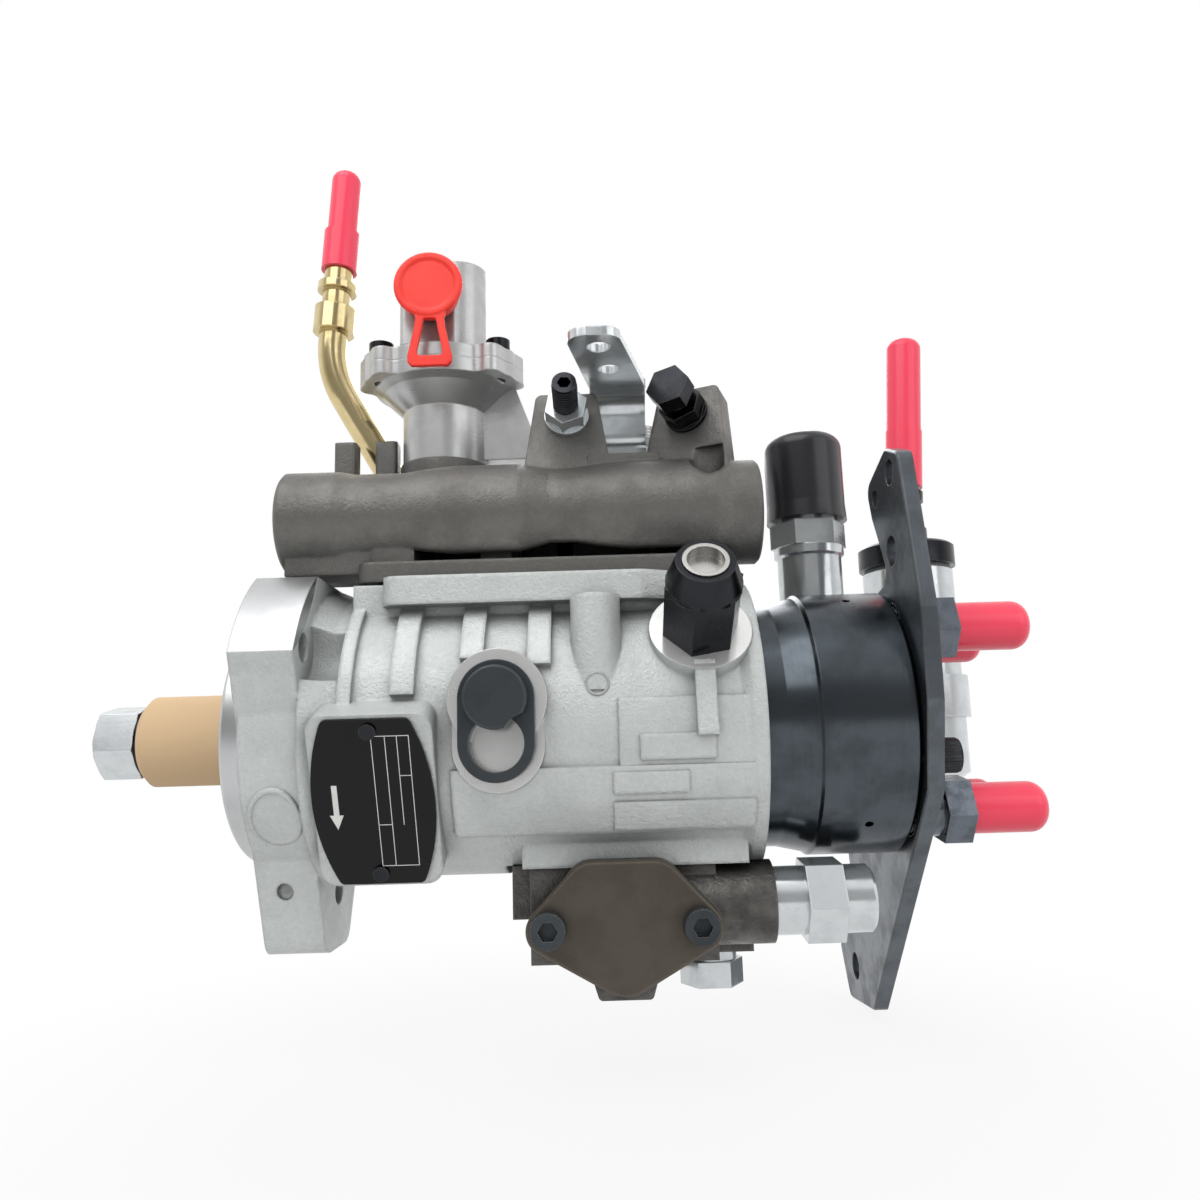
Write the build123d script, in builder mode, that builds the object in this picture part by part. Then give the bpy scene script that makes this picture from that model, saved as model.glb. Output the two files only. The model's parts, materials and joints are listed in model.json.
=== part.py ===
"""Diesel injection pump, rotary distributor type with four axial outlets.

Millimetres. +X runs along the drive axis from the drive end to the outlets,
+Z is up towards the governor cover, and the origin lies on the drive axis
in the mounting face of the flange.
"""

import os
from math import cos, radians, sin

from build123d import *

os.makedirs("parts", exist_ok=True)

# Fits
RUN_FIT = 0.05
ASSEMBLY_FIT = 0.1
REST_GAP = 0.4

# Mounting flange and spigot
FLANGE_T = 19
FLANGE_R = 58
FLANGE_TOP = 49
BOLT_PCD = 100
BOLT_HOLE_D = 9
BOLT_POCKET_R = 10
SPIGOT_R = 40
SPIGOT_L = 7

# Pump housing
BODY_R = 46
BODY_END = 155.4
BODY_WALL = 7
CAVITY_R = BODY_R - BODY_WALL
CAVITY_START = 33.5
CAVITY_END = 125
BARREL_R = 33
LINER_R = 29
LINER_START = 15.5
BEARING_R = 20
TOP_Z = BODY_R + 1.5
LIP_T = 9
LIP_START = 40
LIP_END = BODY_END - 34.4
LIP_HALF = 36
NECK_HALF = 29
NECK_START = 30
RIB_W = 7
RIB_XS = (49, 69, 89)
RIB_LOWS = (12, 25, 22)
RIB_HIGH = 58
POST_X = 106
POST_R = 7.6
PAD_Z = 4 - BODY_R
PAD_X = 116
PAD_L = 68
INLET_X = BODY_END - 17.8
INLET_ANGLE = 35
INLET_SEAT = BODY_R + 2.5
INLET_GAP = 5.5
PLUG_X = 77
PLUG_Z = 8
PLUG_FACE = BODY_R + 3.5
LABEL_X = 41
LABEL_FACE = BODY_R + 2.5
LABEL_TILT = -25
RELIEF = 1

# Drive line
JOURNAL_R = 12.5
STEM_R = 9
THREAD_R = 6.9
NUT_FLATS = 22
NUT_START = -59
NUT_END = -46
WASHER_T = 1.4
TAPER_SMALL_R = 9.5
SLEEVE_R = 15
PAPER_T = 1.4

# Governor
WEIGHT_COUNT = 3
WEIGHT_PIVOT_X = 45
WEIGHT_PIVOT_R = 21
WEIGHT_HALF = 7
WEIGHT_TIP_R = (CAVITY_R + 23) / 2
PIVOT_PIN_R = 1.5
SLEEVE_FACE = 47.9
SLEEVE_END = 69
ARM_T = 3
ARM_PIVOT_X = 74
ARM_PIVOT_Z = TOP_Z - 4.5
SPRING_Y = -10
SPRING_Z = TOP_Z + 22

# Cam ring and distributor
CAM_X = 112
CAM_W = 22
CAM_BASE_R = 28
CAM_LIFT = 2.5
ROLLER_R = 3.8
ROTOR_R = 10
ROTOR_HEAD_R = 22

# Hydraulic head, outlets and rear plate
HEAD_START = 126.8
NECK_R = 40
RING_R = 43
CONE_START = BODY_END + 7.2
RING_START = CONE_START + 9.9
HEAD_END = RING_START + 29
PLATE_T = 5
SOL_X = RING_START + 12.5
SOL_Y = 20
SOL_SEAT = RING_R - 3
OUTLET_Y = 20
OUTLET_Z = 28.5
OUTLET_FLATS = 19
HOLDER_R = 8.2
HOLDER_THREAD_R = 7
HOLDER_START = HEAD_END - 7.5
HEX_START = HEAD_END + 9.5
HEX_END = HEX_START + 8.5
CAP_R = 7.8
CAP_END = HEX_END + 24.5
PLATE_SCREW_R = 3
PLATE_SCREW_L = 16
PLATE_SCREWS = ((-37, -12), (37, 13), (37, -13))

# Governor cover
COVER_Y = -12
COVER_Z = TOP_Z + 23
COVER_R = 17.5
COVER_START = 3.5
COVER_STOP = 161
COVER_TOP = TOP_Z + 32.5
COVER_SCREW_SPOTS = ((47, 31), (144, 30), (144, -22), (95, 31))
LUG_TILT = 14
LUG_T = 9
LUG_H = 30
LUG_SPOTS = ((98, 0), (137, 26))
SCREW_RISE = 20.5
SCREW_M8_R = 4

# Boost control
BOOST_X = 52
BOOST_Y = 15
BOOST_R = 15.3
BOOST_FLANGE_R = 25.5
BOOST_LUG_R = 28.5
BOOST_BASE = COVER_TOP + 17
BOOST_JOINT = BOOST_BASE + 34
BOOST_LIP_T = 5
BOOST_LUGS = (90, 210, 330)
DIAPHRAGM_T = 1.6
PORT_X = 51
PORT_Z = BOOST_JOINT + 23.5
PORT_REACH = 14
TAB_CAP_R = 12

# Return pipe
PIPE_R = 5.4
PIPE_BEND = 40
PIPE_KNEE = (6, 24, COVER_TOP + 60)
PIPE_TOP = (9.5, 24, COVER_TOP + 112)

# Throttle lever
SHAFT_X = 126
SHAFT_Y = 22
CRANK_Z = SPRING_Z - 2.5
CRANK_L = 36
CRANK_ANGLE = 30
LEVER_Z = COVER_TOP + 18
LEVER_T = 3
TAB_Z = LEVER_Z + 22
TAB_TIP_Y = -46
TAB_HOLE_R = 3.85
TAB_HOLES = ((-16.5, -36.7), (-13, -18.8))

# Advance device
ADV_Z = PAD_Z - 16
ADV_BASE = ADV_Z - 12
ADV_BORE_R = 13
ADV_FACE = 34
ADV_COVER_T = 4
ADV_SCREW_X = 22
ADV_BOLTS = ((88, 20, 4), (141, 8, 5))
COLD_Y = -20
COLD_FLATS = 23
COLD_Z = -max(BODY_R - 3, RING_R) - COLD_FLATS / 2

# Rear canister
CAN_X = HEAD_END + 30.5
CAN_Y = 55
CAN_R = 17.4
CAN_TOP = 62
CAN_WALL = 1.6
CAN_LEAN = 0.077


def facing_rear(x: float, y: float = 0, z: float = 0) -> Plane:
    """Plane across the drive axis: local x is +Y, local y is +Z, normal +X."""
    return Plane(origin=(x, y, z), x_dir=(0, 1, 0), z_dir=(1, 0, 0))


def facing_near(x: float, y: float, z: float) -> Plane:
    """Plane on the near side: local x is +X, local y is +Z, normal -Y."""
    return Plane(origin=(x, y, z), x_dir=(1, 0, 0), z_dir=(0, -1, 0))


def facing_up(x: float, y: float, z: float) -> Plane:
    """Level plane: local x is +X, local y is +Y, normal +Z."""
    return Plane(origin=(x, y, z), x_dir=(1, 0, 0), z_dir=(0, 0, 1))


def raised(x: float, radius: float, angle: float) -> Plane:
    """Plane on the near side whose normal leans up from -Y by an angle in degrees."""
    out = (0, -cos(radians(angle)), sin(radians(angle)))
    return Plane(origin=(x, radius * out[1], radius * out[2]), x_dir=(1, 0, 0), z_dir=out)


def turned_along(points: list, y: float = 0, z: float = 0, mode: Mode = Mode.ADD) -> None:
    """Revolve an outline of (x, radius) points about an axis parallel to X."""
    with BuildSketch(facing_near(0, y, z)) as profile:
        with BuildLine():
            Polyline(*points, close=True)
        make_face()
    revolve(profile.sketch, axis=Axis((0, y, z), (1, 0, 0)), mode=mode)


def turned_up(x: float, y: float, points: list, z: float = 0, mode: Mode = Mode.ADD) -> None:
    """Revolve an outline of (radius, height above z) points about a vertical axis."""
    with BuildSketch(facing_near(x, y, z)) as profile:
        with BuildLine():
            Polyline(*points, close=True)
        make_face()
    revolve(profile.sketch, axis=Axis((x, y, 0), (0, 0, 1)), mode=mode)


def rod(plane: Plane, radius: float, length: float, mode: Mode = Mode.ADD) -> None:
    """Extrude a round bar from a plane along its normal."""
    with BuildSketch(plane) as face:
        Circle(radius)
    extrude(face.sketch, amount=length, mode=mode)


def hexagon(plane: Plane, flats: float, length: float, turn: float = 0, mode: Mode = Mode.ADD) -> None:
    """Extrude a hexagon with the given width across flats."""
    with BuildSketch(plane) as face:
        RegularPolygon(flats / 2, 6, major_radius=False, rotation=turn)
    extrude(face.sketch, amount=length, mode=mode)


def block(plane: Plane, width: float, height: float, length: float, mode: Mode = Mode.ADD) -> None:
    """Extrude a centred rectangle from a plane along its normal."""
    with BuildSketch(plane) as face:
        Rectangle(width, height)
    extrude(face.sketch, amount=length, mode=mode)


def outline(plane: Plane, points: list, length: float, radius: float, mode: Mode = Mode.ADD) -> None:
    """Extrude a closed outline with all its corners rounded."""
    with BuildSketch(plane) as face:
        with BuildLine():
            Polyline(*points, close=True)
        make_face()
        fillet(face.vertices(), radius)
    extrude(face.sketch, amount=length, mode=mode)


def band(x: float, width: float, low: float, high: float, height: float) -> None:
    """Raise a strip on the round body, between two angles up from the near side."""
    turn = radians(high)
    section = Plane(origin=(0, 0, 0), x_dir=(1, 0, 0), z_dir=(0, -sin(turn), -cos(turn)))
    end = x + width
    top = BODY_R + height
    with BuildSketch(section) as face:
        with BuildLine():
            Polyline((x, CAVITY_R), (end, CAVITY_R), (end, top), (x, top), close=True)
        make_face()
    revolve(face.sketch, axis=Axis.X, revolution_arc=high - low)


def save(part: Part, label: str) -> None:
    """Label a finished sub-part and write its STEP file."""
    part.label = label
    export_step(part, f"parts/{label}.step")


def bolt_planes(x: float) -> list:
    """Planes at the three flange holes, at the given x."""
    half = BOLT_PCD / 2
    angles = (30, 150, 270)
    return [facing_rear(x, half * cos(radians(a)), half * sin(radians(a))) for a in angles]


def outlet_planes(x: float) -> list:
    """Planes at the four outlets, at the given x."""
    return [facing_rear(x, sy * OUTLET_Y, sz * OUTLET_Z) for sy in (-1, 1) for sz in (-1, 1)]


def flange_face() -> None:
    """Sketch the flange: flat top, turned upper lobes, straight flanks, bottom lobe."""
    with BuildSketch(facing_rear(0)) as face:
        with BuildLine():
            upper = FLANGE_R * cos(radians(156.5)), FLANGE_R * sin(radians(156.5))
            crown = -(FLANGE_R**2 - FLANGE_TOP**2) ** 0.5
            Line((0, FLANGE_TOP), (crown, FLANGE_TOP))
            RadiusArc((crown, FLANGE_TOP), upper, FLANGE_R)
            Line(upper, (-13, -68))
            Line((-13, -68), (0, -68))
            mirror(about=Plane.YZ)
        make_face()
        fillet(face.vertices().group_by(Axis.Y)[0], 7)
    extrude(face.sketch, amount=FLANGE_T)


# Pump housing casting
inlet_seat = raised(INLET_X, INLET_SEAT, INLET_ANGLE)
plug_seat = facing_near(PLUG_X, -PLUG_FACE, PLUG_Z)
label_pad = raised(LABEL_X, LABEL_FACE, LABEL_TILT)

with BuildPart() as pump_housing:
    flange_face()
    turned_along(
        [(-SPIGOT_L, 0), (-SPIGOT_L, SPIGOT_R - 1), (-SPIGOT_L + 1, SPIGOT_R),
         (0, SPIGOT_R), (1, SPIGOT_R - 1), (1, 0)]
    )
    turned_along(
        [(1, 0), (1, BODY_R), (BODY_END - 7, BODY_R), (BODY_END - 4, BODY_R + 1.5),
         (BODY_END, BODY_R + 1.5), (BODY_END, 0)]
    )
    turned_along([(FLANGE_T, 0), (FLANGE_T, BODY_R + 3), (FLANGE_T + 7, BODY_R), (FLANGE_T + 7, 0)])
    block(facing_rear(NECK_START, 0, TOP_Z - 15.5), 2 * NECK_HALF, 28, BODY_END - 6 - NECK_START)
    outline(
        facing_up(0, 0, TOP_Z - LIP_T),
        [(LIP_START, -LIP_HALF), (LIP_END, -LIP_HALF), (LIP_END + 14, -NECK_HALF), (BODY_END - 3, -NECK_HALF),
         (BODY_END - 3, LIP_HALF), (LIP_START, LIP_HALF)],
        LIP_T,
        5,
    )
    for x, low in zip(RIB_XS, RIB_LOWS):
        band(x - RIB_W / 2, RIB_W, low, RIB_HIGH, 2.6 * RELIEF)
    band(NECK_START, 4, 6, RIB_HIGH, 2 * RELIEF)
    rod(facing_up(POST_X, -BODY_R + 8, 10), POST_R, TOP_Z - LIP_T - 9.5)
    block(facing_up(POST_X, -BODY_R + 16, 10), 2 * POST_R, 16, TOP_Z - LIP_T - 9.5)
    block(facing_up(PAD_X, 0, PAD_Z), PAD_L, 60, 22)
    band(112, BODY_END - 4 - 112, -15, 9, RELIEF)
    band(118, 22, -13, -4, 1.8 * RELIEF)
    band(63, BODY_END - 4 - 63, -42, -15, 1.6 * RELIEF)
    band(110, 22, -25, -17, 2.4 * RELIEF)
    band(110, BODY_END - 4 - 110, -40, -28, 2.4 * RELIEF)
    rod(facing_near(PLUG_X, -30, PLUG_Z), 14.5, PLUG_FACE - 30)
    with BuildSketch(facing_near(PLUG_X, -30, PLUG_Z - 6)) as step:
        SlotOverall(42, 27, rotation=90)
    extrude(step.sketch, amount=PLUG_FACE - 33)
    rod(raised(INLET_X, 30, INLET_ANGLE), 15.5, INLET_SEAT - 30)
    block(raised(INLET_X, 30, INLET_ANGLE - 27), 6, 22, INLET_SEAT - 29)
    with BuildSketch(label_pad) as pad:
        RectangleRounded(36, 54, 5)
    extrude(pad.sketch, amount=-25)
    for plane in bolt_planes(FLANGE_T):
        rod(plane, BOLT_POCKET_R, NECK_START - FLANGE_T, Mode.SUBTRACT)
    for plane in bolt_planes(0):
        rod(plane, BOLT_HOLE_D / 2, FLANGE_T + 1, Mode.SUBTRACT)
    bearing_bore = BEARING_R + RUN_FIT
    liner_bore = LINER_R + ASSEMBLY_FIT
    barrel_bore = BARREL_R + ASSEMBLY_FIT
    turned_along(
        [(-SPIGOT_L, 0), (-SPIGOT_L, bearing_bore), (LINER_START, bearing_bore),
         (LINER_START, liner_bore), (CAVITY_START, liner_bore), (CAVITY_START, CAVITY_R),
         (CAVITY_END, CAVITY_R), (CAVITY_END, barrel_bore), (BODY_END, barrel_bore), (BODY_END, 0)],
        mode=Mode.SUBTRACT,
    )
    block(facing_up(95, 0, BARREL_R - 8), 94, 44, TOP_Z + 25.5 - BARREL_R, Mode.SUBTRACT)
    block(facing_up(PAD_X, 0, PAD_Z), PAD_L + 12, 60, -10, Mode.SUBTRACT)
    block(facing_up(CAM_X, 4, PAD_Z - 1), 13, 24, 12, Mode.SUBTRACT)
    for x, y, radius in ADV_BOLTS:
        rod(facing_up(x, y, PAD_Z), radius + ASSEMBLY_FIT, 6.5, Mode.SUBTRACT)
    for x, y in COVER_SCREW_SPOTS:
        rod(facing_up(x, y, TOP_Z), 3 + ASSEMBLY_FIT, -7, Mode.SUBTRACT)
    rod(raised(INLET_X, 25, INLET_ANGLE), 6, 40, Mode.SUBTRACT)
    rod(facing_near(PLUG_X, -30, PLUG_Z), 6, 40, Mode.SUBTRACT)
    rod(facing_near(PLUG_X, -PLUG_FACE + 3, PLUG_Z - 13), 8, 4, Mode.SUBTRACT)
    rod(facing_near(8.4, -50, -47.4), 2.6, -40, Mode.SUBTRACT)
save(pump_housing.part, "pump_housing")

# Drive line
washer_end = NUT_END + WASHER_T
washer_bore = THREAD_R + ASSEMBLY_FIT
with BuildPart() as drive_shaft:
    turned_along(
        [(-62, 0), (-62, THREAD_R - 1), (-61, THREAD_R), (washer_end, THREAD_R), (washer_end, TAPER_SMALL_R),
         (-8, JOURNAL_R), (34, JOURNAL_R), (34, STEM_R), (98, STEM_R), (98, 0)]
    )
    block(facing_rear(98), 7, 16, 5.6)
save(drive_shaft.part, "drive_shaft")

with BuildPart() as shaft_nut:
    hexagon(facing_rear(NUT_START), NUT_FLATS, NUT_END - NUT_START, 13)
    rod(facing_rear(NUT_START), washer_bore, NUT_END - NUT_START, Mode.SUBTRACT)
    turned_along(
        [(NUT_START - 1, 11), (NUT_START - 1, 16), (NUT_START + 2.4, 16), (NUT_START, 11.4)],
        mode=Mode.SUBTRACT,
    )
save(shaft_nut.part, "shaft_nut")

with BuildPart() as spring_washer:
    turned_along([(NUT_END, washer_bore), (NUT_END, 11.6), (washer_end, 11.6), (washer_end, washer_bore)])
save(spring_washer.part, "spring_washer")

sleeve_front = washer_end + 0.2
sleeve_back = -SPIGOT_L - REST_GAP
sleeve_mouth = TAPER_SMALL_R + 0.6
with BuildPart() as paper_sleeve:
    turned_along(
        [(sleeve_front, sleeve_mouth), (sleeve_front, SLEEVE_R - 2), (sleeve_front + 2, SLEEVE_R),
         (sleeve_back, SLEEVE_R), (sleeve_back, SLEEVE_R - PAPER_T),
         (sleeve_front + 2, SLEEVE_R - PAPER_T), (sleeve_front + 1.2, sleeve_mouth)]
    )
save(paper_sleeve.part, "paper_sleeve")

with BuildPart() as shaft_seal:
    turned_along(
        [(-6.5, JOURNAL_R + RUN_FIT), (-6.5, BEARING_R), (-0.5, BEARING_R), (-0.5, BEARING_R - 2),
         (-5, BEARING_R - 2), (-5, JOURNAL_R + 3), (-1.5, JOURNAL_R + 1.6), (-1.5, JOURNAL_R + RUN_FIT)]
    )
save(shaft_seal.part, "shaft_seal")

with BuildPart() as shaft_bearing:
    turned_along([(0, JOURNAL_R + RUN_FIT), (0, BEARING_R), (15, BEARING_R), (15, JOURNAL_R + RUN_FIT)])
    with BuildSketch(facing_rear(15)) as grooves:
        with PolarLocations(JOURNAL_R, 3):
            Circle(1.5)
    extrude(grooves.sketch, amount=-15, mode=Mode.SUBTRACT)
save(shaft_bearing.part, "shaft_bearing")

with BuildPart() as transfer_liner:
    rod(facing_rear(LINER_START), LINER_R, 17)
    rod(facing_rear(LINER_START, 0, 2.5), 21, 17, Mode.SUBTRACT)
save(transfer_liner.part, "transfer_liner")

with BuildPart() as transfer_rotor:
    rod(facing_rear(LINER_START + 0.4), 17.8, 16.2)
    rod(facing_rear(LINER_START + 0.4), JOURNAL_R + RUN_FIT, 16.2, Mode.SUBTRACT)
    with BuildSketch(facing_rear(LINER_START + 0.4)) as slots:
        with PolarLocations(15.8, 4, start_angle=45):
            Rectangle(5, 2.2)
    extrude(slots.sketch, amount=16.2, mode=Mode.SUBTRACT)
    with BuildSketch(facing_rear(LINER_START + 0.6)) as vanes:
        with PolarLocations(15.9, 4, start_angle=45):
            Rectangle(4.6, 2)
    extrude(vanes.sketch, amount=15.8)
save(transfer_rotor.part, "transfer_rotor")


# Governor: carrier, weights, thrust sleeve, arm
def weight_frame(index: int) -> Plane:
    """Plane through a weight's mid-section: local x is +X, local y points outwards."""
    turn = radians(90 + 360 / WEIGHT_COUNT * index)
    out = Vector(0, cos(turn), sin(turn))
    return Plane(origin=(0, 0, 0), x_dir=(1, 0, 0), z_dir=Vector(1, 0, 0).cross(out))


def weight_pivot(index: int) -> Plane:
    """Plane on a weight's pivot pin, its normal along the pin."""
    frame = weight_frame(index)
    middle = frame.from_local_coords((WEIGHT_PIVOT_X, WEIGHT_PIVOT_R, 0))
    return Plane(origin=middle, x_dir=(1, 0, 0), z_dir=frame.z_dir)


with BuildPart() as weight_carrier:
    turned_along([(36, STEM_R + RUN_FIT), (36, 24), (40, 24), (40, 13), (42, 13), (42, STEM_R + RUN_FIT)])
    for index in range(WEIGHT_COUNT):
        frame = weight_frame(index)
        for side in (WEIGHT_HALF + REST_GAP, -WEIGHT_HALF - REST_GAP - 2.6):
            with BuildSketch(frame.offset(side)) as ear:
                with BuildLine():
                    Polyline((37, 16), (49, 16), (49, 25), (37, 25), close=True)
                make_face()
                fillet(ear.vertices().group_by(Axis.X)[-1], 3)
            extrude(ear.sketch, amount=2.6)
        rod(weight_pivot(index).offset(-12), PIVOT_PIN_R + RUN_FIT, 24, Mode.SUBTRACT)
save(weight_carrier.part, "weight_carrier")

for index in range(WEIGHT_COUNT):
    with BuildPart() as flyweight:
        frame = weight_frame(index)
        with BuildSketch(frame.offset(-WEIGHT_HALF)) as profile:
            with BuildLine():
                Polyline(
                    (43.2, 13.4), (47.5, 13.4), (47.5, 22.5), (66, 22.5),
                    (66, WEIGHT_TIP_R), (46, WEIGHT_TIP_R), (43.2, 24), close=True,
                )
            make_face()
            fillet(profile.vertices().group_by(Axis.X)[-1], 2)
        extrude(profile.sketch, amount=2 * WEIGHT_HALF)
        rod(weight_pivot(index).offset(-WEIGHT_HALF - 2.8), PIVOT_PIN_R, 2 * WEIGHT_HALF + 5.6)
    save(flyweight.part, f"flyweight_{index + 1}")

with BuildPart() as thrust_sleeve:
    turned_along(
        [(SLEEVE_FACE, STEM_R + RUN_FIT), (SLEEVE_FACE, 17), (SLEEVE_FACE + 2.5, 17),
         (SLEEVE_FACE + 2.5, 12.5), (SLEEVE_END, 12.5), (SLEEVE_END, STEM_R + RUN_FIT)]
    )
save(thrust_sleeve.part, "thrust_sleeve")

arm_face = SLEEVE_END + REST_GAP
with BuildPart() as governor_arm:
    with BuildSketch(facing_rear(arm_face)) as plate:
        with BuildLine():
            Polyline((-16, -8), (16, -8), (14, ARM_PIVOT_Z), (-14, ARM_PIVOT_Z), close=True)
        make_face()
        fillet(plate.vertices().group_by(Axis.Y)[0], 4)
    extrude(plate.sketch, amount=ARM_T)
    block(facing_rear(arm_face, 0, -5), 21, 38, ARM_T, Mode.SUBTRACT)
    rod(facing_near(ARM_PIVOT_X, 14, ARM_PIVOT_Z), 4, 28)
    rod(facing_near(ARM_PIVOT_X, 19.5, ARM_PIVOT_Z), 2, 39)
    block(facing_up(ARM_PIVOT_X, SPRING_Y, ARM_PIVOT_Z), 4, 7, SPRING_Z + 3.5 - ARM_PIVOT_Z)
save(governor_arm.part, "governor_arm")

# Cam ring with its advance screw, rollers, shoes and rotor
with BuildPart() as cam_ring:
    with BuildSketch(facing_rear(CAM_X - CAM_W / 2)) as ring:
        Circle(CAVITY_R - RUN_FIT)
        Circle(CAM_BASE_R, mode=Mode.SUBTRACT)
        with PolarLocations(CAM_BASE_R - CAM_LIFT + 14, 4, start_angle=45):
            Circle(14)
        Circle(CAVITY_R - RUN_FIT, mode=Mode.INTERSECT)
    extrude(ring.sketch, amount=CAM_W)
    rod(facing_up(CAM_X, 0, ADV_Z), 3.5, -CAM_BASE_R - 1 - ADV_Z)
    with BuildSketch(facing_near(CAM_X, 0, ADV_Z)) as ball:
        Circle(5.5)
        Rectangle(5.5, 11, align=(Align.MAX, Align.CENTER), mode=Mode.SUBTRACT)
    revolve(ball.sketch, axis=Axis((CAM_X, 0, ADV_Z), (0, 0, 1)))
save(cam_ring.part, "cam_ring")

with BuildPart() as distributor_rotor:
    turned_along(
        [(98.8, 0), (98.8, ROTOR_HEAD_R), (124, ROTOR_HEAD_R), (124, ROTOR_R + 3), (126.6, ROTOR_R + 3),
         (126.6, ROTOR_R), (HEAD_END - 5.5, ROTOR_R), (HEAD_END - 5.5, 0)]
    )
    block(facing_rear(98.8), 7.4, 16.4, 5.2, Mode.SUBTRACT)
    rod(facing_up(CAM_X, 0, -30), 4 + RUN_FIT, 60, Mode.SUBTRACT)
    for z in (11.8, -11.8):
        block(facing_up(CAM_X, 0, z), 17, 14.2, 15 if z > 0 else -15, Mode.SUBTRACT)
save(distributor_rotor.part, "distributor_rotor")

with BuildPart() as roller_shoes:
    for way in (1, -1):
        rod(facing_up(CAM_X, 0, way * 0.6), 4, way * 11.2)
        block(facing_up(CAM_X, 0, way * 11.9), 16.6, 13.8, way * 6)
        rod(facing_rear(CAM_X - 8, 0, way * 17.9), ROLLER_R + RUN_FIT, 16, Mode.SUBTRACT)
    for way in (1, -1):
        rod(facing_rear(CAM_X - 8, 0, way * 17.9), ROLLER_R, 16)
save(roller_shoes.part, "roller_shoes")

# Hydraulic head
with BuildPart() as hydraulic_head:
    turned_along(
        [(HEAD_START, 0), (HEAD_START, BARREL_R), (BODY_END, BARREL_R), (BODY_END, NECK_R),
         (CONE_START, NECK_R), (RING_START - 1, RING_R - 1), (RING_START, RING_R),
         (HEAD_END - 1.5, RING_R), (HEAD_END, RING_R - 1.5), (HEAD_END, 0)]
    )
    rod(facing_up(SOL_X, SOL_Y, SOL_SEAT - 20), 13, 20)
    rod(facing_up(SOL_X, SOL_Y, SOL_SEAT), 13.2, 10, Mode.SUBTRACT)
    rod(facing_rear(HEAD_START), ROTOR_R + RUN_FIT, HEAD_END - 4.7 - HEAD_START, Mode.SUBTRACT)
    rod(facing_up(136, 0, 16), 4 + RUN_FIT, 30, Mode.SUBTRACT)
    rod(facing_up(SOL_X, SOL_Y, SOL_SEAT - 24), 8 + ASSEMBLY_FIT, 30, Mode.SUBTRACT)
    for plane in outlet_planes(HOLDER_START - 0.5):
        rod(plane, HOLDER_THREAD_R + ASSEMBLY_FIT, 20, Mode.SUBTRACT)
    for y, z in PLATE_SCREWS:
        tapped = facing_rear(HEAD_END - PLATE_SCREW_L + 3, y, z)
        rod(tapped, PLATE_SCREW_R + ASSEMBLY_FIT, PLATE_SCREW_L, Mode.SUBTRACT)
    for angle in (62, -48):
        rod(raised(RING_START + 14.5, RING_R - 6, angle), 1.3, 8, Mode.SUBTRACT)
save(hydraulic_head.part, "hydraulic_head")

with BuildPart() as metering_valve:
    rod(facing_up(136, 0, 17), 4, TOP_Z - 23)
    outline(facing_up(0, 0, TOP_Z - 6.5), [(139, -3), (139, 3), (118, 2), (118, -2)], 2.6, 1)
    rod(facing_up(120, 0, TOP_Z - 4.5), 1.2, 4)
save(metering_valve.part, "metering_valve")


# Governor cover
def lug_plane(x: float, turn: float) -> Plane:
    """Front face of a stop-screw lug: leans back from upright, turned about Z."""
    lean = radians(LUG_TILT)
    swing = radians(turn)
    out = (-sin(swing) * cos(lean), -cos(swing) * cos(lean), sin(lean))
    return Plane(origin=(x, -17, COVER_TOP + 6), x_dir=(cos(swing), -sin(swing), 0), z_dir=out)


def lug_bore(plane: Plane, depth: float) -> Plane:
    """Plane on a lug's screw line, at a height over the lug's front face."""
    middle = plane.from_local_coords((0, SCREW_RISE, depth))
    return Plane(origin=middle, x_dir=plane.x_dir, z_dir=plane.z_dir)


LUG_PLANES = [lug_plane(x, turn) for x, turn in LUG_SPOTS]

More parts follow.
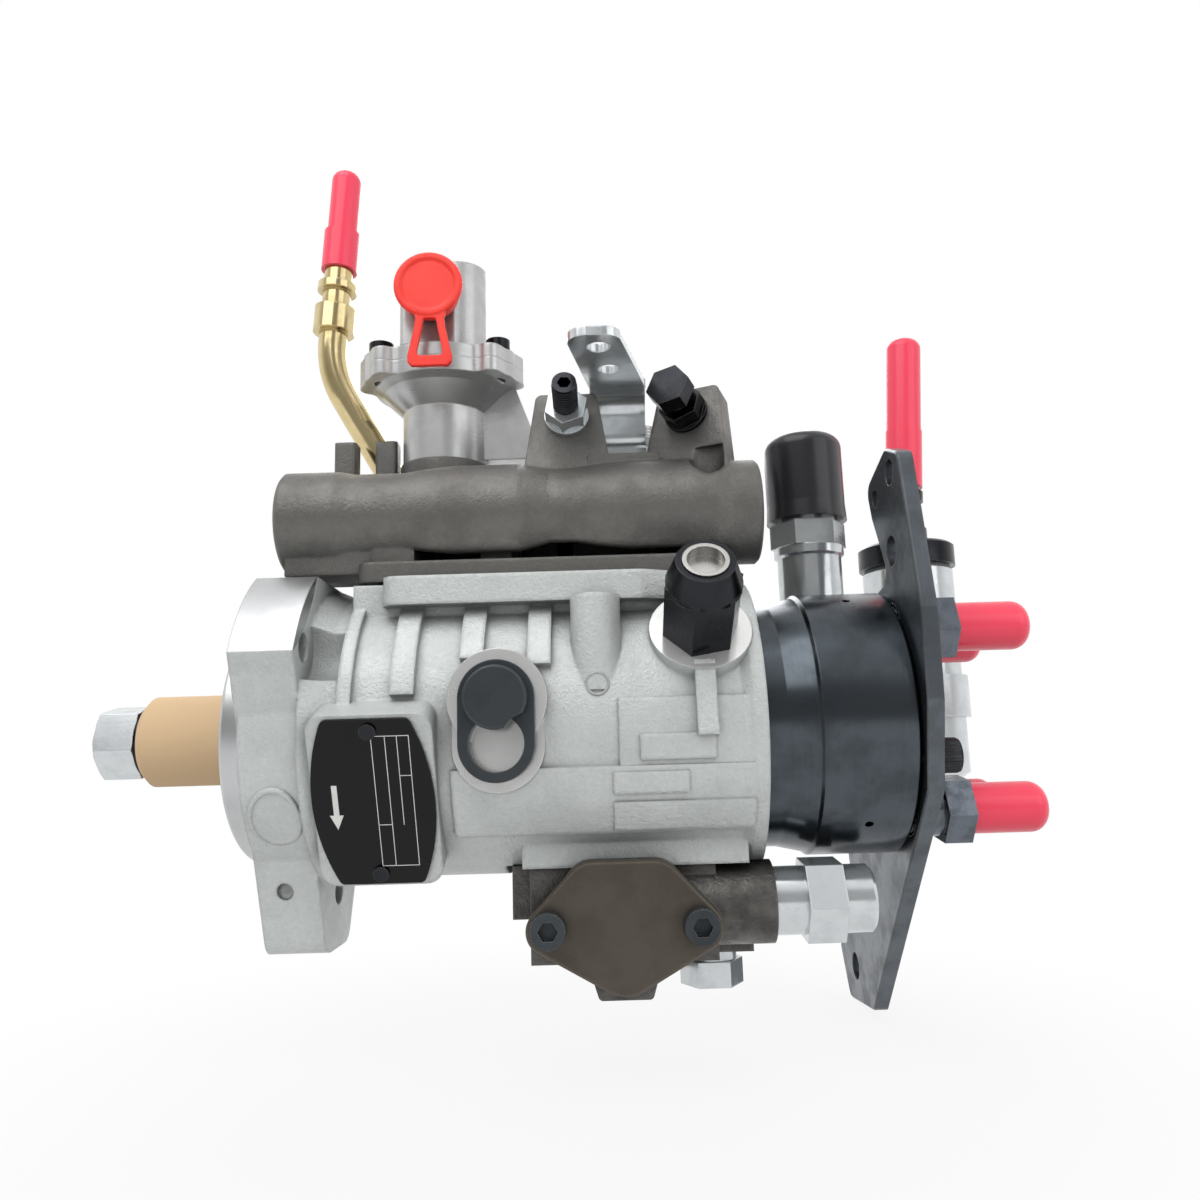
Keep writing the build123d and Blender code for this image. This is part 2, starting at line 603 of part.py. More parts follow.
waist_r = COVER_R - 1
swell_r = COVER_R + 0.9
with BuildPart() as governor_cover:
    outline(
        facing_up(0, 0, TOP_Z),
        [(NECK_START, 2 - NECK_HALF), (BODY_END - 4, 2 - NECK_HALF),
         (BODY_END - 4, LIP_HALF - 1), (NECK_START, LIP_HALF - 1)],
        6.5,
        5,
    )
    box = [(30, -24), (150, -24), (150, 36), (30, 36)]
    outline(facing_up(0, 0, TOP_Z + 5), box, COVER_TOP - TOP_Z - 5, 7)
    turned_along(
        [(COVER_START, 0), (COVER_START, COVER_R - 1), (COVER_START + 1, COVER_R), (22, COVER_R),
         (27, waist_r), (44, waist_r), (50, COVER_R), (60, swell_r), (82, swell_r), (92, waist_r),
         (100, waist_r), (108, COVER_R), (118, swell_r), (146, swell_r), (151, COVER_R),
         (COVER_STOP - 1, COVER_R), (COVER_STOP, COVER_R - 1), (COVER_STOP, 0)],
        y=COVER_Y,
        z=COVER_Z,
    )
    block(facing_up(26, COVER_Y, TOP_Z + 3.5), 40, 22, 14)
    for plane, width in zip(LUG_PLANES, (27, 28)):
        outline(
            plane,
            [(-width / 2 - 2, -6), (width / 2 + 2, -6), (width / 2 - 3, LUG_H), (3 - width / 2, LUG_H)],
            -LUG_T,
            2.5,
        )
    block(facing_up(117, -12, COVER_TOP + 4), 24, 10, 7)
    rod(facing_up(BOOST_X, BOOST_Y, TOP_Z + 8), BOOST_R + 0.8, BOOST_BASE - TOP_Z - 8)
    rod(facing_up(SHAFT_X, SHAFT_Y, COVER_TOP - 4), 9, LEVER_Z - COVER_TOP + 4 - REST_GAP)
    for x in (16, 31):
        outline(facing_up(x, 14, COVER_TOP - 4), [(-4, -4), (4, -4), (4, 4), (-4, 4)], 31, 1.5)
    block(facing_up(25, 12, COVER_TOP - 14), 26, 34, 12)
    rod(facing_up(33, 29, COVER_TOP - 6), 8, 7)
    rod(facing_rear(74, 0, COVER_TOP + 2), 8.5, 16)
    block(facing_up(94, 3, TOP_Z), 92, 54, 25.5, Mode.SUBTRACT)
    rod(facing_rear(24, COVER_Y, COVER_Z), 11, 124, Mode.SUBTRACT)
    rod(facing_up(SHAFT_X, SHAFT_Y, COVER_TOP - 20), 5 + RUN_FIT, 60, Mode.SUBTRACT)
    rod(facing_up(BOOST_X, BOOST_Y, COVER_TOP - 20), 8, 40, Mode.SUBTRACT)
    for y, height in ((18, 41), (-18, 44)):
        block(facing_up(ARM_PIVOT_X, y, ARM_PIVOT_Z - 5), 10, 3.6, height)
    rod(facing_near(ARM_PIVOT_X, 22, ARM_PIVOT_Z), 2 + RUN_FIT, 44, Mode.SUBTRACT)
    for plane in LUG_PLANES:
        rod(lug_bore(plane, 2), SCREW_M8_R + ASSEMBLY_FIT, -LUG_T - 6, Mode.SUBTRACT)
    rod(facing_up(33, 29, COVER_TOP - 5), 5.6, 12, Mode.SUBTRACT)
    for x, y in COVER_SCREW_SPOTS:
        rod(facing_up(x, y, TOP_Z), 3 + ASSEMBLY_FIT, 40, Mode.SUBTRACT)
        rod(facing_up(x, y, COVER_TOP - 8), 5.8, 20, Mode.SUBTRACT)
save(governor_cover.part, "governor_cover")

with BuildPart() as stop_screws:
    start = lug_bore(LUG_PLANES[0], -LUG_T - 4)
    rod(start, SCREW_M8_R, LUG_T + 24)
    hexagon(start.offset(LUG_T + 19), 4, 5, mode=Mode.SUBTRACT)
    start = lug_bore(LUG_PLANES[1], -LUG_T - 4)
    rod(start, SCREW_M8_R, LUG_T + 16)
    hexagon(start.offset(LUG_T + 16), 13, 6, 10)
save(stop_screws.part, "stop_screws")

with BuildPart() as stop_nuts:
    for plane in LUG_PLANES:
        seat = lug_bore(plane, 0)
        rod(seat, 7.6, 1.6)
        hexagon(seat.offset(1.6), 13, 6, 20)
        rod(seat, SCREW_M8_R + ASSEMBLY_FIT, 8, Mode.SUBTRACT)
save(stop_nuts.part, "stop_nuts")

# Throttle shaft, lever, nut and return spring
crank_turn = radians(CRANK_ANGLE)
crank_way = (cos(crank_turn), -sin(crank_turn), 0)
crank_plane = Plane(origin=(SHAFT_X, SHAFT_Y, CRANK_Z), x_dir=crank_way, z_dir=(0, 0, 1))
with BuildPart() as throttle_shaft:
    rod(facing_up(SHAFT_X, SHAFT_Y, CRANK_Z), 5, LEVER_Z + LEVER_T - CRANK_Z)
    rod(facing_up(SHAFT_X, SHAFT_Y, LEVER_Z), 4, 15)
    outline(crank_plane, [(-6, 6), (6, 6), (4, -CRANK_L), (-4, -CRANK_L)], 5, 2)
save(throttle_shaft.part, "throttle_shaft")

with BuildPart() as throttle_lever:
    with BuildSketch(facing_up(SHAFT_X, SHAFT_Y, LEVER_Z)) as base:
        Circle(11)
        with BuildLine():
            Polyline((-20, -15), (0, -15), (11, 0), (-11, 0), close=True)
        make_face()
        with BuildLine():
            Polyline((0, -9), (30, -6), (30, 8), (0, 9), close=True)
        make_face()
        Circle(5 + ASSEMBLY_FIT, mode=Mode.SUBTRACT)
    extrude(base.sketch, amount=LEVER_T)
    with BuildSketch(Plane(origin=(SHAFT_X - 20, 0, 0), x_dir=(0, 1, 0), z_dir=(1, 0, 0))) as bend:
        with BuildLine() as path:
            FilletPolyline((16.8, LEVER_Z), (7, LEVER_Z), (7, TAB_Z), (-3, TAB_Z), radius=8)
            offset(path.line, amount=LEVER_T, side=Side.RIGHT)
        make_face()
    extrude(bend.sketch, amount=20)
    with BuildSketch(facing_up(SHAFT_X, 0, TAB_Z)) as tab:
        with BuildLine():
            Polyline((-20, -2), (0, -2), (-10.5, TAB_TIP_Y), (-27.5, TAB_TIP_Y), close=True)
        make_face()
        fillet(tab.vertices().group_by(Axis.Y)[0], 6)
    extrude(tab.sketch, amount=LEVER_T)
    block(facing_up(SHAFT_X + 26, SHAFT_Y + 1, LEVER_Z), LEVER_T, 14, 22)
    for x, y in TAB_HOLES:
        rod(facing_up(SHAFT_X + x, y, TAB_Z - 6), TAB_HOLE_R, 14, Mode.SUBTRACT)
save(throttle_lever.part, "throttle_lever")

with BuildPart() as lever_nut:
    hexagon(facing_up(SHAFT_X, SHAFT_Y, LEVER_Z + LEVER_T), 13, 7)
    rod(facing_up(SHAFT_X, SHAFT_Y, LEVER_Z + LEVER_T), 4 + ASSEMBLY_FIT, 7, Mode.SUBTRACT)
save(lever_nut.part, "lever_nut")


# Boost control on the governor cover
def boost_outline(z: float, thickness: float) -> None:
    """Round flange with three screw lugs, extruded up from z."""
    with BuildSketch(facing_up(BOOST_X, BOOST_Y, z)) as face:
        Circle(BOOST_FLANGE_R)
        with PolarLocations(BOOST_LUG_R - 5, len(BOOST_LUGS), start_angle=BOOST_LUGS[0]):
            Rectangle(13, 22)
            Circle(7)
        fillet(face.vertices(), 4)
    extrude(face.sketch, amount=thickness)


def boost_lug_planes(z: float) -> list:
    """Planes at the boost control's screws."""
    reach = BOOST_LUG_R - 4
    spots = [(reach * cos(radians(a)), reach * sin(radians(a))) for a in BOOST_LUGS]
    return [facing_up(BOOST_X + x, BOOST_Y + y, z) for x, y in spots]


boost_lip = BOOST_JOINT - BOOST_LIP_T
with BuildPart() as boost_body:
    turned_up(
        BOOST_X,
        BOOST_Y,
        [(0, BOOST_BASE), (BOOST_R, BOOST_BASE), (BOOST_R, boost_lip - 9),
         (BOOST_FLANGE_R - 3, boost_lip - 2), (BOOST_FLANGE_R, boost_lip),
         (BOOST_FLANGE_R, BOOST_JOINT), (0, BOOST_JOINT)],
    )
    boost_outline(boost_lip, BOOST_LIP_T)
    web = [(12, 2), (34, 2), (34, 9), (26, 31), (12, 31)]
    outline(facing_near(BOOST_X, BOOST_Y + 4, BOOST_BASE), web, 8, 1)
    turned_up(
        BOOST_X,
        BOOST_Y,
        [(0, BOOST_BASE), (8, BOOST_BASE), (8, boost_lip - 8), (20, boost_lip - 2),
         (20, BOOST_JOINT), (0, BOOST_JOINT)],
        mode=Mode.SUBTRACT,
    )
    for plane in boost_lug_planes(boost_lip):
        rod(plane, 2.6, 6, Mode.SUBTRACT)
save(boost_body.part, "boost_body")

cover_base = BOOST_JOINT
with BuildPart() as boost_cover:
    boost_outline(cover_base, 5)
    turned_up(BOOST_X, BOOST_Y, [(0, 4), (19, 4), (17, 8), (0, 8)], cover_base)
    outline(
        facing_up(PORT_X, BOOST_Y, cover_base + 6),
        [(-12, -21), (9, -21), (9, 8), (-12, 8)],
        PORT_Z + 10 - cover_base - 6,
        2,
    )
    rod(facing_up(BOOST_X + 5, BOOST_Y, cover_base + 6), 11, 37)
    rod(facing_near(PORT_X, 0, PORT_Z), 8, PORT_REACH)
    rod(facing_up(BOOST_X, BOOST_Y, cover_base), 18.5, 4, Mode.SUBTRACT)
    rod(facing_near(PORT_X, 0, PORT_Z), 5, PORT_REACH, Mode.SUBTRACT)
    for plane in boost_lug_planes(cover_base):
        rod(plane, 2.6, 10, Mode.SUBTRACT)
        rod(plane.offset(5), 5.2, 10, Mode.SUBTRACT)
save(boost_cover.part, "boost_cover")

with BuildPart() as cover_screws:
    for x, y in COVER_SCREW_SPOTS:
        rod(facing_up(x, y, COVER_TOP - 8), 5, 6)
        hexagon(facing_up(x, y, COVER_TOP - 5), 5, 3, mode=Mode.SUBTRACT)
        rod(facing_up(x, y, TOP_Z - 6), 3, COVER_TOP - TOP_Z - 2)
    for plane in boost_lug_planes(boost_lip):
        rod(plane, 2.5, 2 * BOOST_LIP_T)
        rod(plane.offset(2 * BOOST_LIP_T), 4.4, 5)
        hexagon(plane.offset(2 * BOOST_LIP_T + 2), 4, 3, mode=Mode.SUBTRACT)
save(cover_screws.part, "cover_screws")

with BuildPart() as boost_pushrod:
    rod(facing_up(BOOST_X, BOOST_Y, COVER_TOP - 4), 3, BOOST_JOINT - COVER_TOP + 4)
    rod(facing_up(BOOST_X, BOOST_Y, BOOST_JOINT), 18, DIAPHRAGM_T)
    rod(facing_up(BOOST_X, BOOST_Y, BOOST_JOINT - 1.2), 11, 1.2)
save(boost_pushrod.part, "boost_pushrod")

cap_back = -PORT_REACH - 0.2
with BuildPart() as boost_tab_cap:
    rod(facing_near(PORT_X, cap_back, PORT_Z), TAB_CAP_R, 2.4)
    rod(facing_near(PORT_X, cap_back - 2.4, PORT_Z), TAB_CAP_R - 2.6, -0.5, Mode.SUBTRACT)
    rod(facing_near(PORT_X, cap_back, PORT_Z), 10, -6)
    rod(facing_near(PORT_X, cap_back, PORT_Z), 8 + ASSEMBLY_FIT, -6, Mode.SUBTRACT)
    outline(facing_near(PORT_X + 2, cap_back, PORT_Z), [(-4.5, -8), (4.5, -8), (9, -33), (-9, -33)], 2.4, 2.5)
    outline(
        facing_near(PORT_X + 2, cap_back, PORT_Z),
        [(-1.6, -17), (1.6, -17), (5.4, -28.5), (-5.4, -28.5)],
        2.4,
        1.2,
        Mode.SUBTRACT,
    )
save(boost_tab_cap.part, "boost_tab_cap")

# Return pipe
with BuildPart() as return_pipe:
    with BuildLine() as pipe_path:
        foot = (33, 29, COVER_TOP - 4.8)
        bend = (33, 29, COVER_TOP + 12)
        FilletPolyline(foot, bend, PIPE_KNEE, PIPE_TOP, radius=PIPE_BEND)
    with BuildSketch(Plane(origin=pipe_path.line @ 0, z_dir=pipe_path.line % 0)) as ring:
        Circle(PIPE_R)
        Circle(PIPE_R - 1, mode=Mode.SUBTRACT)
    sweep(ring.sketch, path=pipe_path.line)
    upright = Plane(origin=PIPE_TOP, z_dir=pipe_path.line % 1)
    for drop, radius, height in ((36, 7.8, 10), (34, 7.2, 2), (19, 7.4, 3)):
        with BuildSketch(upright.offset(-drop)) as collar:
            Circle(radius)
            Circle(PIPE_R - 0.5, mode=Mode.SUBTRACT)
        extrude(collar.sketch, amount=height)
save(return_pipe.part, "return_pipe")

# Inlet adapter, its steel insert, lock plug, spacer and data plate
with BuildPart() as inlet_adapter:
    hexagon(inlet_seat, 20.5, 20, 12)
    with BuildSketch(inlet_seat.offset(20)) as lower:
        Circle(11.2)
    with BuildSketch(inlet_seat.offset(28)) as upper:
        Circle(8.6)
    loft(sections=[lower.sketch, upper.sketch])
    rod(inlet_seat.offset(18.5), 11.2, 1.6)
    rod(inlet_seat, 5.9, BARREL_R + INLET_GAP - INLET_SEAT)
    rod(inlet_seat.offset(8), 6.8, 30, Mode.SUBTRACT)
    rod(inlet_seat.offset(18), 4, BARREL_R + INLET_GAP - INLET_SEAT - 20, Mode.SUBTRACT)
save(inlet_adapter.part, "inlet_adapter")

with BuildPart() as inlet_insert:
    rod(inlet_seat.offset(14), 6.7, 14.6)
    rod(inlet_seat.offset(25), 5.4, 5, Mode.SUBTRACT)
save(inlet_insert.part, "inlet_insert")

with BuildPart() as lock_spacer:
    with BuildSketch(facing_near(PLUG_X, -PLUG_FACE, PLUG_Z - 6.5)) as slot:
        SlotOverall(35, 22, rotation=90)
    extrude(slot.sketch, amount=3)
    rod(plug_seat, 6 + ASSEMBLY_FIT, 3, Mode.SUBTRACT)
    rod(facing_near(PLUG_X, -PLUG_FACE, PLUG_Z - 13), 8, 3, Mode.SUBTRACT)
save(lock_spacer.part, "lock_spacer")

with BuildPart() as lock_plug:
    rod(plug_seat.offset(3), 9.2, 4)
    chamfer(lock_plug.faces().sort_by(Axis.Y)[0].edges(), 0.6)
    rod(plug_seat.offset(3), 5.9, -16)
    with BuildSketch(plug_seat.offset(3)) as notch:
        with BuildLine():
            Polyline((5, -6), (12, -3), (12, -12), (2, -9.4), close=True)
        make_face()
    extrude(notch.sketch, amount=4, mode=Mode.SUBTRACT)
save(lock_plug.part, "lock_plug")


def rivet_planes(height: float) -> list:
    """Planes at the plate's two rivets, at a height over the pad."""
    spots = [label_pad.from_local_coords((0, z, height)) for z in (22.5, -22.5)]
    return [Plane(origin=spot, x_dir=(1, 0, 0), z_dir=label_pad.z_dir) for spot in spots]


with BuildPart() as data_plate:
    with BuildSketch(label_pad) as face:
        with BuildLine():
            ThreePointArc((-13, 26), (-18, 0), (-12, -26))
            Line((-12, -26), (12.5, -26))
            ThreePointArc((12.5, -26), (17.5, 0), (11.5, 26))
            Line((11.5, 26), (-13, 26))
        make_face()
        fillet(face.vertices(), 2)
    extrude(face.sketch, amount=1)
    for spot in rivet_planes(0):
        rod(spot, 1.5, 2, Mode.SUBTRACT)
save(data_plate.part, "data_plate")

with BuildPart() as plate_rivets:
    for spot in rivet_planes(1):
        rod(spot, 2.4, 0.9)
        rod(spot, 1.4, -1)
save(plate_rivets.part, "plate_rivets")

# Rear plate and its screws
with BuildPart() as rear_plate:
    outline(
        facing_rear(HEAD_END),
        [(-38, 82), (-48.5, 31), (-47.5, 4), (-41, -22), (38, -102), (72, -105), (84, -86),
         (58, -56), (66, -24), (66, 24), (50, 39), (0, 42), (-20, 45), (-6, 68), (-2, 80), (-26, 87)],
        PLATE_T,
        5,
    )
    for plane in outlet_planes(HEAD_END):
        rod(plane, HOLDER_R + ASSEMBLY_FIT, PLATE_T, Mode.SUBTRACT)
    for y, z in PLATE_SCREWS:
        rod(facing_rear(HEAD_END, y, z), PLATE_SCREW_R + ASSEMBLY_FIT, PLATE_T, Mode.SUBTRACT)
    for y, z, radius in ((-29, 78, 4.2), (-11.5, 74, 3), (-25, 53, 5), (60, -91, 5)):
        rod(facing_rear(HEAD_END, y, z), radius, PLATE_T, Mode.SUBTRACT)
    chamfer(rear_plate.faces().sort_by(Axis.X)[0].outer_wire().edges(), 0.6)
save(rear_plate.part, "rear_plate")

plate_back = HEAD_END + PLATE_T
with BuildPart() as plate_screws:
    for y, z in PLATE_SCREWS:
        rod(facing_rear(plate_back, y, z), 5, 6)
        hexagon(facing_rear(plate_back + 3, y, z), 5, 3, mode=Mode.SUBTRACT)
        rod(facing_rear(plate_back - PLATE_SCREW_L, y, z), PLATE_SCREW_R, PLATE_SCREW_L)
save(plate_screws.part, "plate_screws")

# Delivery valve holders, valves, springs and caps
with BuildPart() as delivery_holders:
    for plane in outlet_planes(0):
        rod(plane.offset(HOLDER_START), HOLDER_THREAD_R, HEAD_END - HOLDER_START)
        rod(plane.offset(HEAD_END), HOLDER_R, HEX_START - HEAD_END)
        hexagon(plane.offset(HEX_START), OUTLET_FLATS, HEX_END - HEX_START, 8)
        rod(plane.offset(HEX_END), 6, 14)
        rod(plane.offset(HOLDER_START), 4, 18.5, Mode.SUBTRACT)
        rod(plane.offset(HEX_START - 1), 1.5, 30, Mode.SUBTRACT)
save(delivery_holders.part, "delivery_holders")

with BuildPart() as delivery_valves:
    for plane in outlet_planes(0):
        rod(plane.offset(HOLDER_START + 0.5), 4 - RUN_FIT, 10)
        rod(plane.offset(HOLDER_START + 10.5), 2.2, 5)
save(delivery_valves.part, "delivery_valves")

with BuildPart() as outlet_caps:
    for plane in outlet_planes(HEX_END):
        rod(plane, CAP_R, CAP_END - HEX_END)
    fillet(outlet_caps.faces().group_by(Axis.X)[-1].edges(), 5)
    for plane in outlet_planes(HEX_END):
        rod(plane, 6 + ASSEMBLY_FIT, 15, Mode.SUBTRACT)
save(outlet_caps.part, "outlet_caps")

# Shut-off solenoid
with BuildPart() as shutoff_solenoid:
    turned_up(
        SOL_X,
        SOL_Y,
        [(0, -16), (8, -16), (8, 0), (11.5, 0), (11.5, 20), (12.6, 21), (12.6, 24),
         (11, 24), (11, 50), (4, 50), (4, 57), (0, 57)],
        SOL_SEAT,
    )
    hexagon(facing_up(SOL_X, SOL_Y, SOL_SEAT + 24), 24, 9)
    rod(facing_up(SOL_X, SOL_Y, SOL_SEAT - 16), 3 + RUN_FIT, 16, Mode.SUBTRACT)
save(shutoff_solenoid.part, "shutoff_solenoid")

with BuildPart() as solenoid_plunger:
    rod(facing_up(SOL_X, SOL_Y, SOL_SEAT - 21.5), 3, 18)
    rod(facing_up(SOL_X, SOL_Y, SOL_SEAT - 21.5), 5, 2.5)
save(solenoid_plunger.part, "solenoid_plunger")

with BuildPart() as solenoid_cap:
    turned_up(SOL_X, SOL_Y, [(0, 34), (14.6, 34), (14.2, 40), (14.2, 66), (0, 67)], SOL_SEAT)
    fillet(solenoid_cap.edges().group_by(Axis.Z)[-2], 5)
    turned_up(
        SOL_X,
        SOL_Y,
        [(0, 33), (11.1, 33), (11.1, 50.1), (4.1, 50.1), (4.1, 57.1), (0, 57.1)],
        SOL_SEAT,
        Mode.SUBTRACT,
    )
save(solenoid_cap.part, "solenoid_cap")

# Canister behind the plate
with BuildPart() as canister:
    turned_up(CAN_X, CAN_Y, [(0, -86), (10, -86), (CAN_R, -81), (CAN_R, -2), (CAN_R - 1, 0), (0, 0)], CAN_TOP)
    turned_up(
        CAN_X,
        CAN_Y,
        [(0, -84), (CAN_R - CAN_WALL, -80), (CAN_R - CAN_WALL, -4), (0, -4)],
        CAN_TOP,
        Mode.SUBTRACT,
    )
    rod(facing_up(CAN_X, CAN_Y, CAN_TOP - 6), 5.1, 10, Mode.SUBTRACT)
save(canister.part, "canister")

with BuildPart() as canister_strap:
    rod(facing_up(CAN_X, CAN_Y, 2), CAN_R + 2, 16)
    block(facing_rear(plate_back, CAN_Y - 3, 10), 20, 16, CAN_X - plate_back - CAN_R + 4)
    rod(facing_up(CAN_X, CAN_Y, 2), CAN_R + ASSEMBLY_FIT, 16, Mode.SUBTRACT)
save(canister_strap.part, "canister_strap")

can_pipe = Plane(origin=(CAN_X, CAN_Y, CAN_TOP + 15), x_dir=(1, 0, -CAN_LEAN), z_dir=(CAN_LEAN, 0, 1))
with BuildPart() as canister_cap:
    rim_r = CAN_R + 1.2
    turned_up(CAN_X, CAN_Y, [(0, 0), (rim_r, 0), (rim_r, 8), (CAN_R, 9), (9, 11), (9, 16), (0, 16)], CAN_TOP)
    rod(can_pipe, 5, 62)
    rod(can_pipe.offset(13), 7.6, 4)
    rod(can_pipe, 3.6, 62, Mode.SUBTRACT)
    rod(facing_up(CAN_X, CAN_Y, CAN_TOP), 3.6, 20, Mode.SUBTRACT)
save(canister_cap.part, "canister_cap")

with BuildPart() as pipe_caps:
    rod(upright.offset(-10), 6.8, 16)
    rod(upright.offset(6), 5.7, 26)
    rod(can_pipe.offset(19), 7.4, 24)
    rod(can_pipe.offset(43), 7, 40)
    for solid in pipe_caps.solids():
        fillet(solid.faces().sort_by(Axis.Z)[-1].edges(), 4)
    rod(upright.offset(-10), PIPE_R + ASSEMBLY_FIT, 10.2, Mode.SUBTRACT)
    rod(can_pipe.offset(19), 5 + ASSEMBLY_FIT, 43.2, Mode.SUBTRACT)
save(pipe_caps.part, "pipe_caps")


# Advance device under the housing
def advance_face(y: float, thickness: float) -> None:
    """Rounded diamond around the piston bore, with an ear at each screw."""
    with BuildSketch(facing_near(CAM_X, y, ADV_Z)) as face:
        with Locations((-ADV_SCREW_X, -1), (ADV_SCREW_X, -1)):
            Circle(6.8)
        with Locations((-9, 9.5), (9, 9.5)):
            Circle(9)
        with Locations((0, -9)):
            Circle(10.5)
        make_hull()
    extrude(face.sketch, amount=thickness)


cold_bore = facing_rear(140, COLD_Y, COLD_Z)
with BuildPart() as advance_body:
    advance_face(-ADV_FACE + 3.6, 3.6)
    block(facing_up(CAM_X, 2, ADV_BASE), 56, 60, PAD_Z - ADV_BASE)
    rod(facing_near(CAM_X, 36, ADV_Z), PAD_Z - ADV_Z, 60)
    outline(facing_near(CAM_X, -26, ADV_Z), [(-12, -10), (12, -10), (8, -23), (-8, -23)], -40, 1.5)
    rod(facing_rear(126, COLD_Y, COLD_Z), 12.4, 31.5)
    block(facing_up(140, 2, ADV_BASE), 24, 36, PAD_Z - ADV_BASE)
    block(facing_up(82, 0, ADV_Z), 8, 40, PAD_Z - ADV_Z)
    rod(facing_near(CAM_X, 32, ADV_Z), ADV_BORE_R, 80, Mode.SUBTRACT)
    block(facing_up(CAM_X, 4, ADV_Z), 13, 24, 20, Mode.SUBTRACT)
    rod(cold_bore, 8 + ASSEMBLY_FIT, 20, Mode.SUBTRACT)
    for x in (CAM_X - ADV_SCREW_X, CAM_X + ADV_SCREW_X):
        rod(facing_near(x, -ADV_FACE + 12, ADV_Z), 3 + ASSEMBLY_FIT, 14, Mode.SUBTRACT)
    for x, y, radius in ADV_BOLTS:
        rod(facing_up(x, y, ADV_BASE - 10), radius + ASSEMBLY_FIT, 40, Mode.SUBTRACT)
save(advance_body.part, "advance_body")

with BuildPart() as advance_cover:
    advance_face(-ADV_FACE, ADV_COVER_T)
    for x in (CAM_X - ADV_SCREW_X, CAM_X + ADV_SCREW_X):
        rod(facing_near(x, -ADV_FACE, ADV_Z), 3 + ASSEMBLY_FIT, ADV_COVER_T, Mode.SUBTRACT)
    chamfer(advance_cover.faces().sort_by(Axis.Y)[0].outer_wire().edges(), 0.7)
save(advance_cover.part, "advance_cover")

with BuildPart() as advance_screws:
    for x in (CAM_X - ADV_SCREW_X, CAM_X + ADV_SCREW_X):
        face = facing_near(x, -ADV_FACE - ADV_COVER_T, ADV_Z)
        rod(face, 5, 6)
        hexagon(face.offset(3), 5, 3, mode=Mode.SUBTRACT)
        rod(face, 3, -13)
save(advance_screws.part, "advance_screws")

with BuildPart() as advance_bolts:
    for (x, y, radius), flats, drop in zip(ADV_BOLTS, (13, 18), (8, 14)):
        hexagon(facing_up(x, y, ADV_BASE - drop), flats, 8)
        rod(facing_up(x, y, ADV_BASE + 6 - drop), flats / 2 - 0.5, drop - 6)
        rod(facing_up(x, y, ADV_BASE), radius, PAD_Z - ADV_BASE + 6)
save(advance_bolts.part, "advance_bolts")

with BuildPart() as advance_piston:
    rod(facing_near(CAM_X, 16, ADV_Z), ADV_BORE_R - RUN_FIT, 36)
    rod(facing_up(CAM_X, 0, ADV_Z - 7), 5.5 + REST_GAP, 30, Mode.SUBTRACT)
    rod(facing_near(CAM_X, 16, ADV_Z), 9, 8, Mode.SUBTRACT)
save(advance_piston.part, "advance_piston")

with BuildPart() as cold_advance_solenoid:
    turned_along(
        [(141, 0), (141, 8), (157.5, 8), (157.5, 10.2), (167, 10.2), (167, 11), (178.5, 11),
         (178.5, 10.2), (187, 10.2), (188, 9.2), (188, 0)],
        COLD_Y,
        COLD_Z,
    )
    hexagon(facing_rear(167, COLD_Y, COLD_Z), COLD_FLATS, 11.5, 5)
    rod(facing_rear(180, COLD_Y, COLD_Z), 7, 10, Mode.SUBTRACT)
    rod(facing_rear(180, COLD_Y, COLD_Z), 2, 6)
save(cold_advance_solenoid.part, "cold_advance_solenoid")


# Springs
def coil(axis_plane: Plane, radius: float, wire: float, turns: float, length: float) -> None:
    """Sweep a round wire along a helix that starts on a plane and follows its normal."""
    path = axis_plane.location * Helix(pitch=length / turns, height=length, radius=radius)
    with BuildSketch(Plane(origin=path @ 0, z_dir=path % 0)) as section:
        Circle(wire / 2)
    sweep(section.sketch, path=path, is_frenet=True)


with BuildPart() as governor_spring:
    coil(facing_rear(ARM_PIVOT_X + 3.1, SPRING_Y, SPRING_Z), 3, 1.4, 7, 27)
save(governor_spring.part, "governor_spring")

with BuildPart() as advance_spring:
    coil(Plane(origin=(CAM_X, 9.5, ADV_Z), x_dir=(1, 0, 0), z_dir=(0, 1, 0)), 7, 1.8, 4, 21)
save(advance_spring.part, "advance_spring")

with BuildPart() as boost_spring:
    coil(facing_up(BOOST_X, BOOST_Y, BOOST_BASE + 2), 6, 1.4, 5, 29.5)
save(boost_spring.part, "boost_spring")

with BuildPart() as throttle_spring:
    coil(facing_up(SHAFT_X, SHAFT_Y, COVER_TOP + 3), 10.6, 1.8, 4, 12)
save(throttle_spring.part, "throttle_spring")
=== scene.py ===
"""Studio scene of a four-outlet rotary diesel injection pump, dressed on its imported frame."""

from __future__ import annotations

import json
import logging
import math
from collections.abc import Callable
from dataclasses import dataclass, field
from enum import Enum

import bmesh
import bpy
from mathutils import Matrix, Vector

